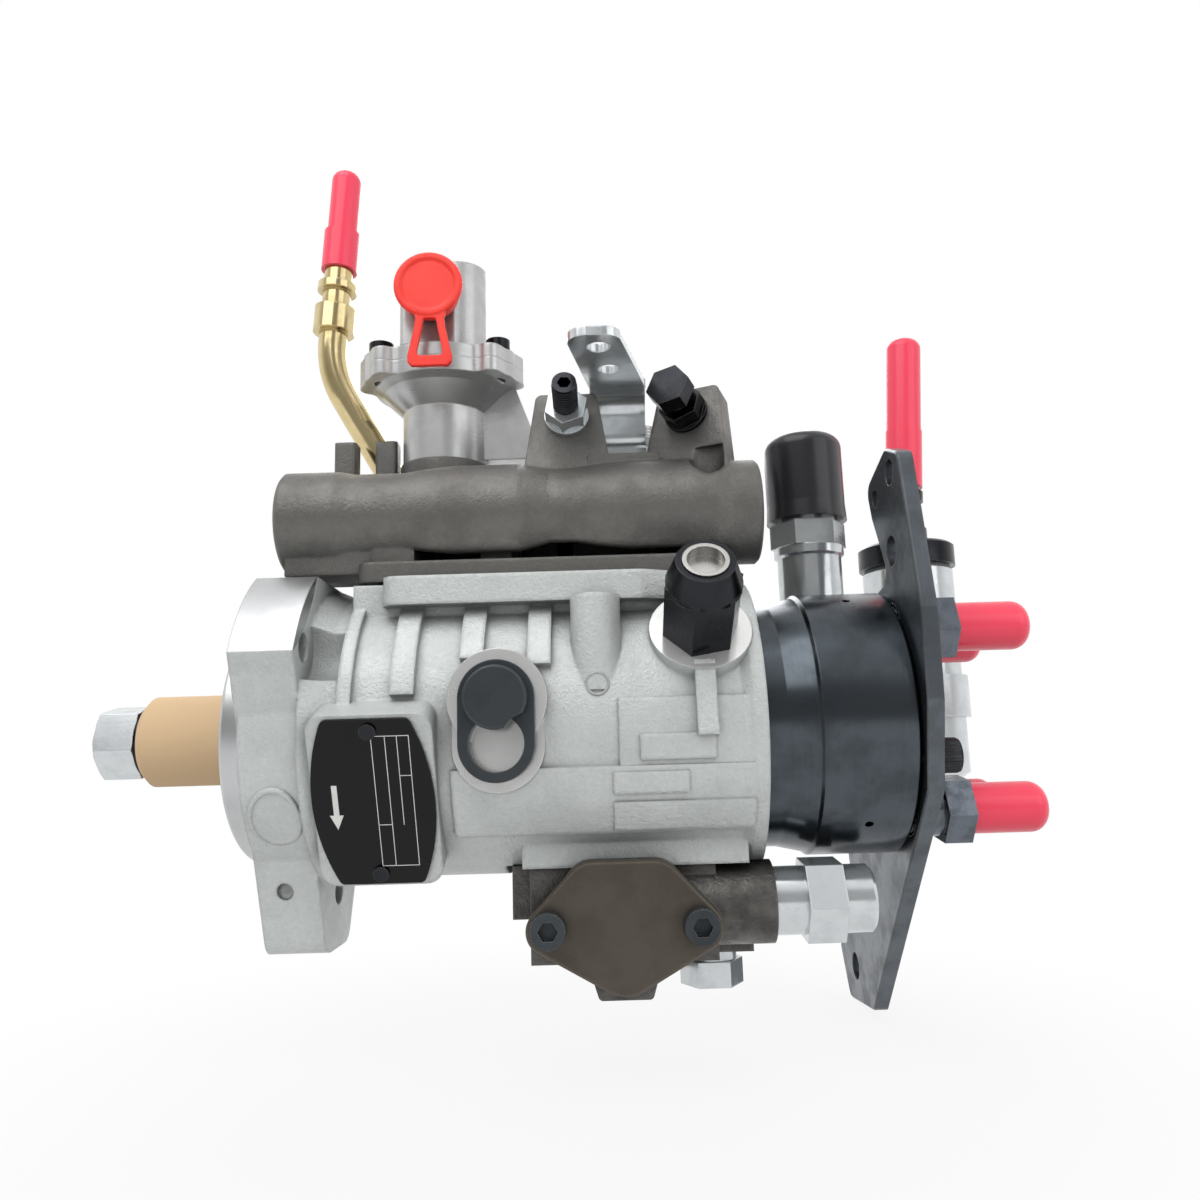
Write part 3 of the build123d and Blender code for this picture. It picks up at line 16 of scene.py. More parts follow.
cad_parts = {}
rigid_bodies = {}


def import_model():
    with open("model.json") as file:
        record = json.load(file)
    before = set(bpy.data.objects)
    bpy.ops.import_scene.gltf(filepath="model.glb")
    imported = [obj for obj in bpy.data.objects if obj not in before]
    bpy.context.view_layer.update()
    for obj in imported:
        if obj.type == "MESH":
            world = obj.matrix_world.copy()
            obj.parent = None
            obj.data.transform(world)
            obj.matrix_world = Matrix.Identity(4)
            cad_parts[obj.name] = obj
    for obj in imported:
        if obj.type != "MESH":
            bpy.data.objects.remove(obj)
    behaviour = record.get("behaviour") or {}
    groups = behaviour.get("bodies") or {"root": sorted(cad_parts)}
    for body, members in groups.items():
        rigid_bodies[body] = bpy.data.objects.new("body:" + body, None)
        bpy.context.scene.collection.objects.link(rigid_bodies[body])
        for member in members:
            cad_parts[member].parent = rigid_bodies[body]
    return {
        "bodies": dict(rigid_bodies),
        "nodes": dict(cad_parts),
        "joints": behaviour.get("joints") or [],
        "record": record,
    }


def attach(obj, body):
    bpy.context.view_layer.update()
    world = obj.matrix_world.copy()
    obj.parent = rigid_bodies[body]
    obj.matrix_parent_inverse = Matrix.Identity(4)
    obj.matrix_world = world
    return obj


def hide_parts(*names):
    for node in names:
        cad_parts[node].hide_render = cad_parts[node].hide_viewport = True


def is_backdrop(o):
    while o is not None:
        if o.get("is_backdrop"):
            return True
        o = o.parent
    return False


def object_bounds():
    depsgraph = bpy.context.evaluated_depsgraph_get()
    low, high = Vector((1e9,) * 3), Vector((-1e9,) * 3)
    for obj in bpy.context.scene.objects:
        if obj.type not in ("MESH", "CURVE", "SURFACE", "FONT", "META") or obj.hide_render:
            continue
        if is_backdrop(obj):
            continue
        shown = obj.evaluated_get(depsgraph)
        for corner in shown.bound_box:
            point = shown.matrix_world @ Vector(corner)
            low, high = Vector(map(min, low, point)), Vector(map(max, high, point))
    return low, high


Colour = tuple[float, float, float]
LOG = logging.getLogger("injection_pump")
MM = 0.001
ALONG = Vector((1, 0, 0))
AWAY = Vector((0, 1, 0))
NEAR = Vector((0, -1, 0))
UP = Vector((0, 0, 1))
SCREEN_GAMMA = 2.2
WEAR_MM = 3.0
# Reach and tone of the painted shade in hollows, found by ambient occlusion; it also stands for grime in the
# recesses.
HOLLOW_SHADE_REACH_MM = 12.0
HOLLOW_SHADE_TONE = 0.35
COAT_ROUGHNESS = 0.08
AO_SAMPLES = 6
BEVEL_SAMPLES = 4
BLOTCH_RANGE = (0.38, 0.68)
EDGE_RANGE = (0.985, 0.82)
HOLLOW_RANGE = (0.25, 0.85)
WEAR_RANGE = (0.35, 0.6, 0.35, 1.0)
COARSE_GRAIN = 2.2
COARSE_SHARE = 0.6
FINE_SHARE = 0.7
PIECE_CREASE = math.radians(32)
NODE_CREASE = math.radians(28)
WELD_MM = 0.002
HEAD_R = 5.0
KNURL_LOW = 0.3
KNURL_HIGH = 5.6
KNURL_SINK = 0.2
KNURL_ROOT = 0.03
KNURL_CREST = 0.24
KNURL_SLOPE = 0.1
THREAD_SEGMENTS = 24
THREAD_RUN_OUT = 10
THREAD_SINK = 0.15
THREAD_CREST = 0.38
THREAD_HALF = 0.42
BEAD_SEGMENTS = 12
MARK_SEGMENTS = 48
FLOOR_GAP = 0.0002


def linear(red: int, green: int, blue: int) -> Colour:
    """Turns a screen colour into the linear values a shader takes.

    Args:
        red: Red, 0 to 255.
        green: Green, 0 to 255.
        blue: Blue, 0 to 255.

    Returns:
        The three linear channels, 0 to 1.
    """
    return tuple((channel / 255) ** SCREEN_GAMMA for channel in (red, green, blue))


class Wire:
    """A shader output that can be used in Python sums."""

    def __init__(self, bench: Bench, socket: bpy.types.NodeSocket) -> None:
        """Keeps the socket and the bench that its node stands on."""
        self.bench = bench
        self.socket = socket

    def maths(self, operation: str, first: Operand, second: Operand) -> Wire:
        """Adds one Math node.

        Args:
            operation: The Math node's operation.
            first: The first operand.
            second: The second operand.

        Returns:
            The node's output.
        """
        return self.bench.node("ShaderNodeMath", {"operation": operation}, {0: first, 1: second})

    def __add__(self, other: Operand) -> Wire:
        """Adds a value or another wire."""
        return self.maths("ADD", self, other)

    def __radd__(self, other: Operand) -> Wire:
        """Adds this wire to a number."""
        return self.maths("ADD", other, self)

    def __sub__(self, other: Operand) -> Wire:
        """Takes a value or another wire away."""
        return self.maths("SUBTRACT", self, other)

    def __rsub__(self, other: Operand) -> Wire:
        """Takes this wire away from a number."""
        return self.maths("SUBTRACT", other, self)

    def __mul__(self, other: Operand) -> Wire:
        """Multiplies by a value or another wire."""
        return self.maths("MULTIPLY", self, other)

    def __rmul__(self, other: Operand) -> Wire:
        """Multiplies a number by this wire."""
        return self.maths("MULTIPLY", other, self)

    def highest(self, other: Operand) -> Wire:
        """Gives the larger of the two."""
        return self.maths("MAXIMUM", self, other)


Operand = Wire | float | int


class Bench:
    """A node tree and the few tools that lay nodes on it."""

    def __init__(self, tree: bpy.types.NodeTree) -> None:
        """Keeps the tree."""
        self.tree = tree

    def node(
        self,
        kind: str,
        settings: dict[str, object] | None = None,
        inputs: dict[int | str, object] | None = None,
        out: int | str = 0,
    ) -> Wire:
        """Adds any node.

        Args:
            kind: The node's type.
            settings: Values for the node's own properties.
            inputs: A value or a wire for each named or numbered input.
            out: The output to hand back.

        Returns:
            The chosen output.
        """
        made = self.tree.nodes.new(kind)
        for name, value in (settings or {}).items():
            setattr(made, name, value)
        for key, value in (inputs or {}).items():
            self.feed(made.inputs[key], value)
        return Wire(self, made.outputs[out])

    def feed(self, socket: bpy.types.NodeSocket, value: object) -> None:
        """Links a wire to a socket, or sets the socket's own value.

        Args:
            socket: The input to fill.
            value: A wire, a number, a vector or a colour.
        """
        if isinstance(value, Wire):
            self.tree.links.new(value.socket, socket)
        elif socket.type == "RGBA":
            socket.default_value = (*value, 1.0)
        else:
            socket.default_value = value

    def mix(self, factor: Operand, low: Wire | Colour, high: Wire | Colour) -> Wire:
        """Blends two colours by a factor."""
        return self.node("ShaderNodeMix", {"data_type": "RGBA"}, {0: factor, 6: low, 7: high}, 2)

    def step(self, value: Wire, low: float, high: float, floor: float = 0.0, top: float = 1.0) -> Wire:
        """Maps a value smoothly from one range to another.

        Args:
            value: What is mapped.
            low: Where the floor is reached.
            high: Where the top is reached.
            floor: The result at low.
            top: The result at high.

        Returns:
            The mapped value.
        """
        return self.node(
            "ShaderNodeMapRange",
            {"interpolation_type": "SMOOTHSTEP"},
            {0: value, 1: low, 2: high, 3: floor, 4: top},
        )

    def place(self) -> Wire:
        """Gives the point on the piece, in metres."""
        return self.node("ShaderNodeTexCoord", out="Object")

    def stretch(self, point: Wire, scale: tuple[float, float, float]) -> Wire:
        """Scales a point along each axis."""
        return self.node("ShaderNodeVectorMath", {"operation": "MULTIPLY"}, {0: point, 1: scale})

    def noise(self, point: Wire, size_mm: float, detail: float = 2.0, rough: float = 0.5) -> Wire:
        """Gives noise with grains of about the given size in millimetres."""
        inputs = {"Vector": point, "Scale": 1000 / size_mm, "Detail": detail, "Roughness": rough}
        return self.node("ShaderNodeTexNoise", {}, inputs)

    def soften(self, radius_mm: float) -> Wire:
        """Gives the normal as it is with every edge rounded to the radius."""
        return self.node("ShaderNodeBevel", {"samples": BEVEL_SAMPLES}, {"Radius": radius_mm * MM})

    def edges(self, soft: Wire) -> Wire:
        """Finds the edges that wear.

        Args:
            soft: The normal with every edge rounded.

        Returns:
            1 on worn edges and 0 on the open surface.
        """
        true = self.node("ShaderNodeNewGeometry", out="Normal")
        facing = self.node("ShaderNodeVectorMath", {"operation": "DOT_PRODUCT"}, {0: soft, 1: true}, "Value")
        return self.step(facing, *EDGE_RANGE)

    def bump(self, height: Wire, depth_mm: float, normal: Wire) -> Wire:
        """Raises the surface by a height map of the given depth."""
        inputs = {"Strength": 1.0, "Distance": depth_mm * MM, "Height": height, "Normal": normal}
        return self.node("ShaderNodeBump", {}, inputs)


class Lay(Enum):
    """How a tool, a mould or a bath left its marks on a surface."""

    CAST = "sand grain"
    TURNED_ALONG = "fine rings round the drive line"
    TURNED_UP = "fine rings round an upright"
    ROLLED = "rolled sheet"
    SMOOTH = "plated or moulded"


@dataclass(frozen=True)
class Finish:
    """A surface finish, with its colours, its marks, its wear and the painted shade in its hollows."""

    name: str
    colour: Colour
    stain: Colour
    metallic: float
    roughness: float
    lay: Lay = Lay.SMOOTH
    cloud: float = 0.5
    fleck: float = 0.35
    spread: float = 0.1
    blotch_mm: float = 12.0
    grain_mm: float = 0.8
    depth_mm: float = 0.05
    soft_mm: float = 0.5
    edge: Colour | None = None
    edge_share: float = 0.5
    # How strongly hollows are darkened: painted shade from ambient occlusion, also meant as grime.
    hollow_shade_and_grime: float = 0.0
    coat: float = 0.0
    specular: float = 0.5

    def marks(self, bench: Bench, point: Wire) -> Wire:
        """Gives the height map of the surface's marks.

        Args:
            bench: Where the nodes go.
            point: The point on the piece.

        Returns:
            Heights from 0 to 1.
        """
        if self.lay is Lay.CAST:
            coarse = bench.noise(point, self.grain_mm * COARSE_GRAIN, 3.0, 0.6)
            return coarse * COARSE_SHARE + bench.noise(point, self.grain_mm, 2.0, 0.7) * FINE_SHARE
        if self.lay is Lay.TURNED_ALONG:
            across = bench.stretch(point, (0.0, 1.0, 1.0))
            radius = bench.node("ShaderNodeVectorMath", {"operation": "LENGTH"}, {0: across}, "Value")
            along = bench.node("ShaderNodeSeparateXYZ", {}, {0: point}, "X")
            ring = bench.node("ShaderNodeCombineXYZ", {}, {0: along, 1: radius})
            return bench.noise(ring, self.grain_mm, 1.0)
        if self.lay is Lay.TURNED_UP:
            return bench.noise(bench.stretch(point, (0.02, 0.02, 1.0)), self.grain_mm, 1.0)
        if self.lay is Lay.ROLLED:
            return bench.noise(bench.stretch(point, (1.0, 1.0, 0.15)), self.grain_mm, 3.0)
        return bench.noise(point, self.grain_mm, 3.0)

    def material(self) -> bpy.types.Material:
        """Builds the finish's material once.

        Returns:
            The material, shared by every piece with this finish.
        """
        known = bpy.data.materials.get(self.name)
        if known:
            return known
        made = bpy.data.materials.new(self.name)
        made.use_nodes = True
        bench = Bench(made.node_tree)
        shader = made.node_tree.nodes["Principled BSDF"]
        point = bench.place()
        height = self.marks(bench, point)
        blotch = bench.step(bench.noise(point, self.blotch_mm, 4.0, 0.6), *BLOTCH_RANGE)
        soft = bench.soften(self.soft_mm)
        colour = bench.mix(blotch * self.cloud + height * self.fleck, self.colour, self.stain)
        rough = self.roughness + self.spread * (blotch - 0.5) + self.spread * (height - 0.5)
        if self.edge:
            wear = bench.edges(soft) * bench.step(bench.noise(point, WEAR_MM, 3.0), *WEAR_RANGE)
            colour = bench.mix(wear * self.edge_share, colour, self.edge)
        # Painted shade: hollows found by ambient occlusion are darkened towards a dark copy of the stain
        # colour; this also stands for grime in the recesses.
        if self.hollow_shade_and_grime:
            reach = {"Distance": HOLLOW_SHADE_REACH_MM * MM}
            hollow = bench.node("ShaderNodeAmbientOcclusion", {"samples": AO_SAMPLES}, reach, "AO")
            hollow_shade_and_grime_mask = (1 - bench.step(hollow, *HOLLOW_RANGE)) * self.hollow_shade_and_grime
            colour = bench.mix(hollow_shade_and_grime_mask, colour, tuple(HOLLOW_SHADE_TONE * channel for channel in self.stain))
        bench.feed(shader.inputs["Base Color"], colour)
        bench.feed(shader.inputs["Roughness"], rough)
        bench.feed(shader.inputs["Normal"], bench.bump(height, self.depth_mm, soft))
        bench.feed(shader.inputs["Metallic"], self.metallic)
        bench.feed(shader.inputs["Coat Weight"], self.coat)
        bench.feed(shader.inputs["Coat Roughness"], COAT_ROUGHNESS)
        bench.feed(shader.inputs["Specular IOR Level"], self.specular)
        return made


SAND_CAST = Finish(
    "sand_cast_aluminium", linear(212, 216, 214), linear(168, 172, 171), 0.40, 0.48, Lay.CAST,
    cloud=0.18, fleck=0.6, spread=0.12, blotch_mm=22.0, grain_mm=0.85, depth_mm=0.40, soft_mm=1.8,
    edge=linear(222, 225, 223), edge_share=0.35, hollow_shade_and_grime=0.7,
)
COVER_CAST = Finish(
    "dark_cast_aluminium", linear(118, 117, 114), linear(86, 85, 82), 0.6, 0.44, Lay.CAST,
    cloud=0.3, fleck=0.5, spread=0.12, blotch_mm=18.0, grain_mm=0.8, depth_mm=0.22, soft_mm=1.6,
    edge=linear(138, 136, 132), edge_share=0.4, hollow_shade_and_grime=0.6,
)
TURNED_SILVER = Finish(
    "turned_aluminium", linear(196, 197, 197), linear(172, 172, 171), 0.8, 0.34, Lay.TURNED_UP,
    spread=0.10, grain_mm=0.25, depth_mm=0.02, soft_mm=0.8, edge=linear(222, 222, 221), hollow_shade_and_grime=0.5,
)
BLACK_STEEL = Finish(
    "black_oxide_steel", linear(84, 90, 95), linear(63, 67, 71), 1.0, 0.24, Lay.TURNED_ALONG,
    spread=0.08, grain_mm=0.3, depth_mm=0.012, soft_mm=0.5, edge=linear(112, 112, 112), hollow_shade_and_grime=0.4,
)
BLACK_BOLT = Finish(
    "black_oxide_bolt", linear(56, 57, 60), linear(38, 39, 41), 1.0, 0.26,
    spread=0.10, grain_mm=0.5, depth_mm=0.015, soft_mm=0.4, edge=linear(124, 124, 124), hollow_shade_and_grime=0.4,
)
DULL_BLACK = Finish(
    "dull_black_oxide", linear(66, 71, 75), linear(48, 52, 55), 0.5, 0.40, Lay.SMOOTH,
    spread=0.10, grain_mm=0.5, depth_mm=0.02, soft_mm=0.5, edge=linear(126, 130, 132), hollow_shade_and_grime=0.4,
)
BLUED_STEEL = Finish(
    "blued_hex_steel", linear(108, 114, 122), linear(78, 82, 88), 1.0, 0.24,
    spread=0.10, blotch_mm=5.0, grain_mm=0.5, depth_mm=0.015, soft_mm=0.4,
    edge=linear(168, 172, 178), hollow_shade_and_grime=0.4,
)
PLATE_STEEL = Finish(
    "dark_rolled_plate", linear(98, 104, 110), linear(78, 81, 85), 0.9, 0.36, Lay.ROLLED,
    spread=0.14, blotch_mm=11.0, grain_mm=0.8, depth_mm=0.02, soft_mm=0.7,
    edge=linear(126, 110, 94), edge_share=0.8, hollow_shade_and_grime=0.3,
)
ZINC = Finish(
    "bright_zinc", linear(212, 216, 218), linear(190, 195, 197), 0.78, 0.20,
    spread=0.10, blotch_mm=7.0, grain_mm=0.7, depth_mm=0.008, soft_mm=0.5,
    edge=linear(236, 238, 239), hollow_shade_and_grime=0.15,
)
BARE_STEEL = Finish(
    "ground_steel", linear(184, 183, 180), linear(156, 154, 150), 1.0, 0.28, Lay.TURNED_ALONG,
    spread=0.10, grain_mm=0.3, depth_mm=0.012, soft_mm=0.3, edge=linear(214, 213, 210),
)
SPRING_STEEL = Finish(
    "spring_wire", linear(120, 118, 116), linear(90, 88, 86), 1.0, 0.34,
    grain_mm=0.6, depth_mm=0.01, soft_mm=0.2, edge=linear(160, 158, 155),
)
GOLD_PLATE = Finish(
    "yellow_passivated_pipe", linear(222, 204, 158), linear(196, 174, 124), 1.0, 0.17,
    spread=0.08, blotch_mm=9.0, grain_mm=1.2, depth_mm=0.004, soft_mm=0.7,
    edge=linear(236, 224, 190), hollow_shade_and_grime=0.6,
)
IRON = Finish(
    "rough_dark_iron", linear(112, 110, 107), linear(64, 62, 60), 0.8, 0.42, Lay.CAST,
    spread=0.24, grain_mm=1.0, depth_mm=0.34, soft_mm=1.2, edge=linear(150, 147, 143), hollow_shade_and_grime=0.7,
)
PHOSPHATE = Finish(
    "brown_phosphate_cover", linear(86, 80, 72), linear(72, 66, 58), 0.5, 0.42, Lay.CAST,
    spread=0.10, grain_mm=0.35, depth_mm=0.04, soft_mm=1.0, edge=linear(134, 124, 112),
    edge_share=0.8, hollow_shade_and_grime=0.4,
)
RED_VINYL = Finish(
    "red_vinyl", linear(222, 34, 66), linear(202, 24, 54), 0.0, 0.32,
    spread=0.08, blotch_mm=10.0, grain_mm=1.6, depth_mm=0.03, soft_mm=0.8, coat=0.2,
)
RED_MOULDED = Finish(
    "red_moulded_cap", linear(244, 54, 40), linear(230, 42, 30), 0.0, 0.40,
    spread=0.08, blotch_mm=9.0, grain_mm=0.5, depth_mm=0.02, soft_mm=0.6,
)
BLACK_VINYL = Finish(
    "black_vinyl", linear(16, 16, 18), linear(10, 10, 12), 0.0, 0.18,
    spread=0.08, blotch_mm=6.0, grain_mm=7.0, depth_mm=0.5, soft_mm=1.6, coat=0.5,
)
KRAFT = Finish(
    "kraft_paper", linear(186, 138, 86), linear(168, 121, 72), 0.0, 0.82, Lay.ROLLED,
    spread=0.06, blotch_mm=5.0, grain_mm=0.5, depth_mm=0.03, soft_mm=0.3,
)
BLACK_ENAMEL = Finish(
    "black_enamel_plate", linear(12, 12, 14), linear(8, 8, 10), 0.0, 0.22,
    spread=0.08, blotch_mm=14.0, grain_mm=0.8, depth_mm=0.006, soft_mm=0.2, specular=0.25,
)
TURNED_FACE = Finish(
    "turned_flange_face", linear(196, 197, 198), linear(172, 173, 174), 0.95, 0.36, Lay.TURNED_ALONG,
    spread=0.12, blotch_mm=24.0, grain_mm=0.25, depth_mm=0.03, soft_mm=0.6, edge=linear(224, 225, 226),
)
MILLED_FACE = Finish(
    "milled_seat", linear(226, 226, 225), linear(206, 206, 205), 0.6, 0.22, Lay.ROLLED,
    spread=0.10, blotch_mm=9.0, grain_mm=0.3, depth_mm=0.012, soft_mm=0.4,
)
PALE_PRINT = Finish(
    "pale_print", linear(226, 226, 222), linear(204, 204, 200), 0.0, 0.45,
    spread=0.08, blotch_mm=3.0, grain_mm=0.4, depth_mm=0.004, soft_mm=0.05,
)
SEAL_RUBBER = Finish(
    "seal_rubber", linear(34, 33, 32), linear(26, 25, 25), 0.0, 0.6, grain_mm=0.5, depth_mm=0.02,
)


def leaning(x: float, radius: float, angle: float) -> Matrix:
    """Gives a frame on the near side of the drive line.

    Args:
        x: Place along the drive line in millimetres.
        radius: Height of the frame over the drive line in millimetres.
        angle: Lean of the frame's normal up from the near side in degrees.

    Returns:
        A matrix whose x runs along the drive line and whose z points out.
    """
    lean = math.radians(angle)
    out = Vector((0, -math.cos(lean), math.sin(lean)))
    return standing(x * ALONG + radius * out, ALONG, out)


def standing(origin: Vector, across: Vector, out: Vector) -> Matrix:
    """Gives a frame that takes millimetres and hands back metres.

    Args:
        origin: Where the frame stands, in millimetres.
        across: The direction of its x.
        out: The direction of its z.

    Returns:
        The frame's matrix.
    """
    turn = Matrix((across, out.cross(across), out)).transposed().to_4x4()
    return Matrix.Translation(origin * MM) @ turn @ Matrix.Scale(MM, 4)


@dataclass
class Stock:
    """Points and faces of one piece while it is being made."""

    points: list[Vector] = field(default_factory=list)
    faces: list[tuple[int, ...]] = field(default_factory=list)

    def loft(self, rings: list[list[Vector]], closed: bool) -> None:
        """Joins rings of equal count into a tube.

        Args:
            rings: The rings in order.
            closed: True where the last ring joins the first, else the ends are capped.
        """
        start = len(self.points)
        count = len(rings[0])
        for ring in rings:
            self.points.extend(ring)
        spans = len(rings) if closed else len(rings) - 1
        for i in range(spans):
            near = start + i * count
            far = start + (i + 1) % len(rings) * count
            for j in range(count):
                k = (j + 1) % count
                self.faces.append((near + j, near + k, far + k, far + j))
        if not closed:
            self.faces.append(tuple(range(start, start + count)))
            self.faces.append(tuple(range(start + spans * count, start + (spans + 1) * count)))

    def thread(self, frame: Matrix, radius: float, length: float, pitch: float = 1.25) -> None:
        """Winds a screw thread round a shank that starts on a frame and follows its z.

        Args:
            frame: Where the thread starts.
            radius: The shank's radius in millimetres.
            length: The threaded length in millimetres.
            pitch: The thread's pitch in millimetres.
        """
        steps = int(length / pitch * THREAD_SEGMENTS)
        rings = []
        for i in range(steps + 1):
            turn = math.tau * i / THREAD_SEGMENTS
            rise = min(1.0, i / THREAD_RUN_OUT, (steps - i) / THREAD_RUN_OUT)
            root, crest = radius - THREAD_SINK, radius + THREAD_CREST * rise
            outline = ((root, -THREAD_HALF), (crest, 0.0), (root, THREAD_HALF))
            height = pitch * i / THREAD_SEGMENTS
            rings.append(
                [
                    frame @ Vector((r * math.cos(turn), r * math.sin(turn), height + pitch * dz))
                    for r, dz in outline
                ]
            )
        self.loft(rings, closed=False)

    def knurl(self, frame: Matrix, teeth: int = 36) -> None:
        """Rolls a ring of fine teeth on a socket screw's head.

        Args:
            frame: The head's seat, with z along the screw.
            teeth: How many teeth.
        """
        rings = []
        inner = HEAD_R - KNURL_SINK
        for i in range(2 * teeth):
            turn = math.tau * i / (2 * teeth)
            crest = HEAD_R + (KNURL_CREST if i % 2 else KNURL_ROOT)
            lower = [(inner, KNURL_LOW), (crest - KNURL_SLOPE, KNURL_LOW), (crest, 2 * KNURL_LOW)]
            upper = [(crest, KNURL_HIGH - KNURL_LOW), (crest - KNURL_SLOPE, KNURL_HIGH), (inner, KNURL_HIGH)]
            outline = lower + upper
            rings.append([frame @ Vector((r * math.cos(turn), r * math.sin(turn), z)) for r, z in outline])
        self.loft(rings, closed=True)

    def lathe(self, frame: Matrix, profile: list[tuple[float, float]], segments: int = 72) -> None:
        """Turns a closed profile about a frame's z.

        Args:
            frame: The frame whose z is the axis.
            profile: The profile's radius and height at each corner.
            segments: How many steps make the round.
        """
        rings = []
        for i in range(segments):
            turn = math.tau * i / segments
            rings.append([frame @ Vector((r * math.cos(turn), r * math.sin(turn), z)) for r, z in profile])
        self.loft(rings, closed=True)

    def loop(
        self,
        frame: Matrix,
        outer: list[tuple[float, float]],
        inner: list[tuple[float, float]],
        low: float,
        high: float,
    ) -> None:
        """Cuts a flat loop from sheet.

        Args:
            frame: The sheet's back face.
            outer: The outer outline.
            inner: The window's outline, with as many points.
            low: Where the sheet starts above the frame.
            high: Where it ends.
        """
        rings = []
        for (x, y), (u, v) in zip(outer, inner):
            rings.append([frame @ Vector(p) for p in ((x, y, low), (x, y, high), (u, v, high), (u, v, low))])
        self.loft(rings, closed=True)

    def bead(self, path: list[Vector], radii: list[float]) -> None:
        """Lays a closed round bead along a path.

        Args:
            path: The middle of the bead in millimetres, all the way round.
            radii: The bead's radius at each point of the path.
        """
        rings = []
        for i, middle in enumerate(path):
            along = (path[(i + 1) % len(path)] - path[i - 1]).normalized()
            side = along.orthogonal() if not rings else (side - along * side.dot(along))
            side.normalize()
            rise = along.cross(side)
            turns = [math.tau * j / BEAD_SEGMENTS for j in range(BEAD_SEGMENTS)]
            spokes = [side * math.cos(turn) + rise * math.sin(turn) for turn in turns]
            rings.append([MM * (middle + radii[i] * spoke) for spoke in spokes])
        self.loft(rings, closed=True)

    def slab(self, frame: Matrix, outline: list[tuple[float, float]], low: float, high: float) -> None:
        """Raises a flat outline on a frame.

        Args:
            frame: Where the outline lies.
            outline: Its corners.
            low: Where the slab starts above the frame.
            high: Where it ends.
        """
        rings = [[frame @ Vector((x, y, z)) for x, y in outline] for z in (low, high)]
        self.loft(rings, closed=False)

    def piece(self, name: str, finish: Finish, body: str, slot: str) -> bpy.types.Object:
        """Makes the stock into a piece that rides on a body.

        Args:
            name: The piece's name.
            finish: Its finish.
            body: The body that carries it.
            slot: The record's material slot; not used.

        Returns:
            The new object.
        """
        mesh = bpy.data.meshes.new(name)
        mesh.from_pydata(self.points, [], self.faces)
        work = bmesh.new()
        work.from_mesh(mesh)
        bmesh.ops.remove_doubles(work, verts=work.verts, dist=WELD_MM * MM)
        bmesh.ops.recalc_face_normals(work, faces=work.faces)
        work.to_mesh(mesh)
        work.free()
        mesh.shade_smooth()
        mesh.set_sharp_from_angle(angle=PIECE_CREASE)
        mesh.materials.append(finish.material())
        made = bpy.data.objects.new(name, mesh)
        bpy.context.scene.collection.objects.link(made)
        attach(made, body)
        return made


@dataclass
class SubAssembly:
    """A named group of the pump's pieces with the finish of each, measured in millimetres and degrees."""

    nodes: dict[str, bpy.types.Object]
    finishes: dict[str, Finish] = field(default_factory=dict)

    def build(self) -> list[bpy.types.Object]:
        """Makes the pieces that the frame leaves to the scene."""
        return []

    def dress(self) -> None:
        """Gives each of the group's nodes its finish and smooth shading."""
        for name, finish in self.finishes.items():
            mesh = self.nodes[name].data
            mesh.materials.clear()
            mesh.materials.append(finish.material())
            mesh.shade_smooth()
            mesh.set_sharp_from_angle(angle=NODE_CREASE)

    def machine(self, node: str, finish: Finish, cut: Callable[[Vector, Vector], bool]) -> None:
        """Gives the machined facets of a node a finish of their own.

        Args:
            node: The node's name.
            finish: The finish of its machined faces.
            cut: Tells from a facet's middle and normal, in millimetres, whether it was machined.
        """
        mesh = self.nodes[node].data
        mesh.materials.append(finish.material())
        index = len(mesh.materials) - 1
        for facet in mesh.polygons:
            if cut(facet.center / MM, facet.normal):
                facet.material_index = index


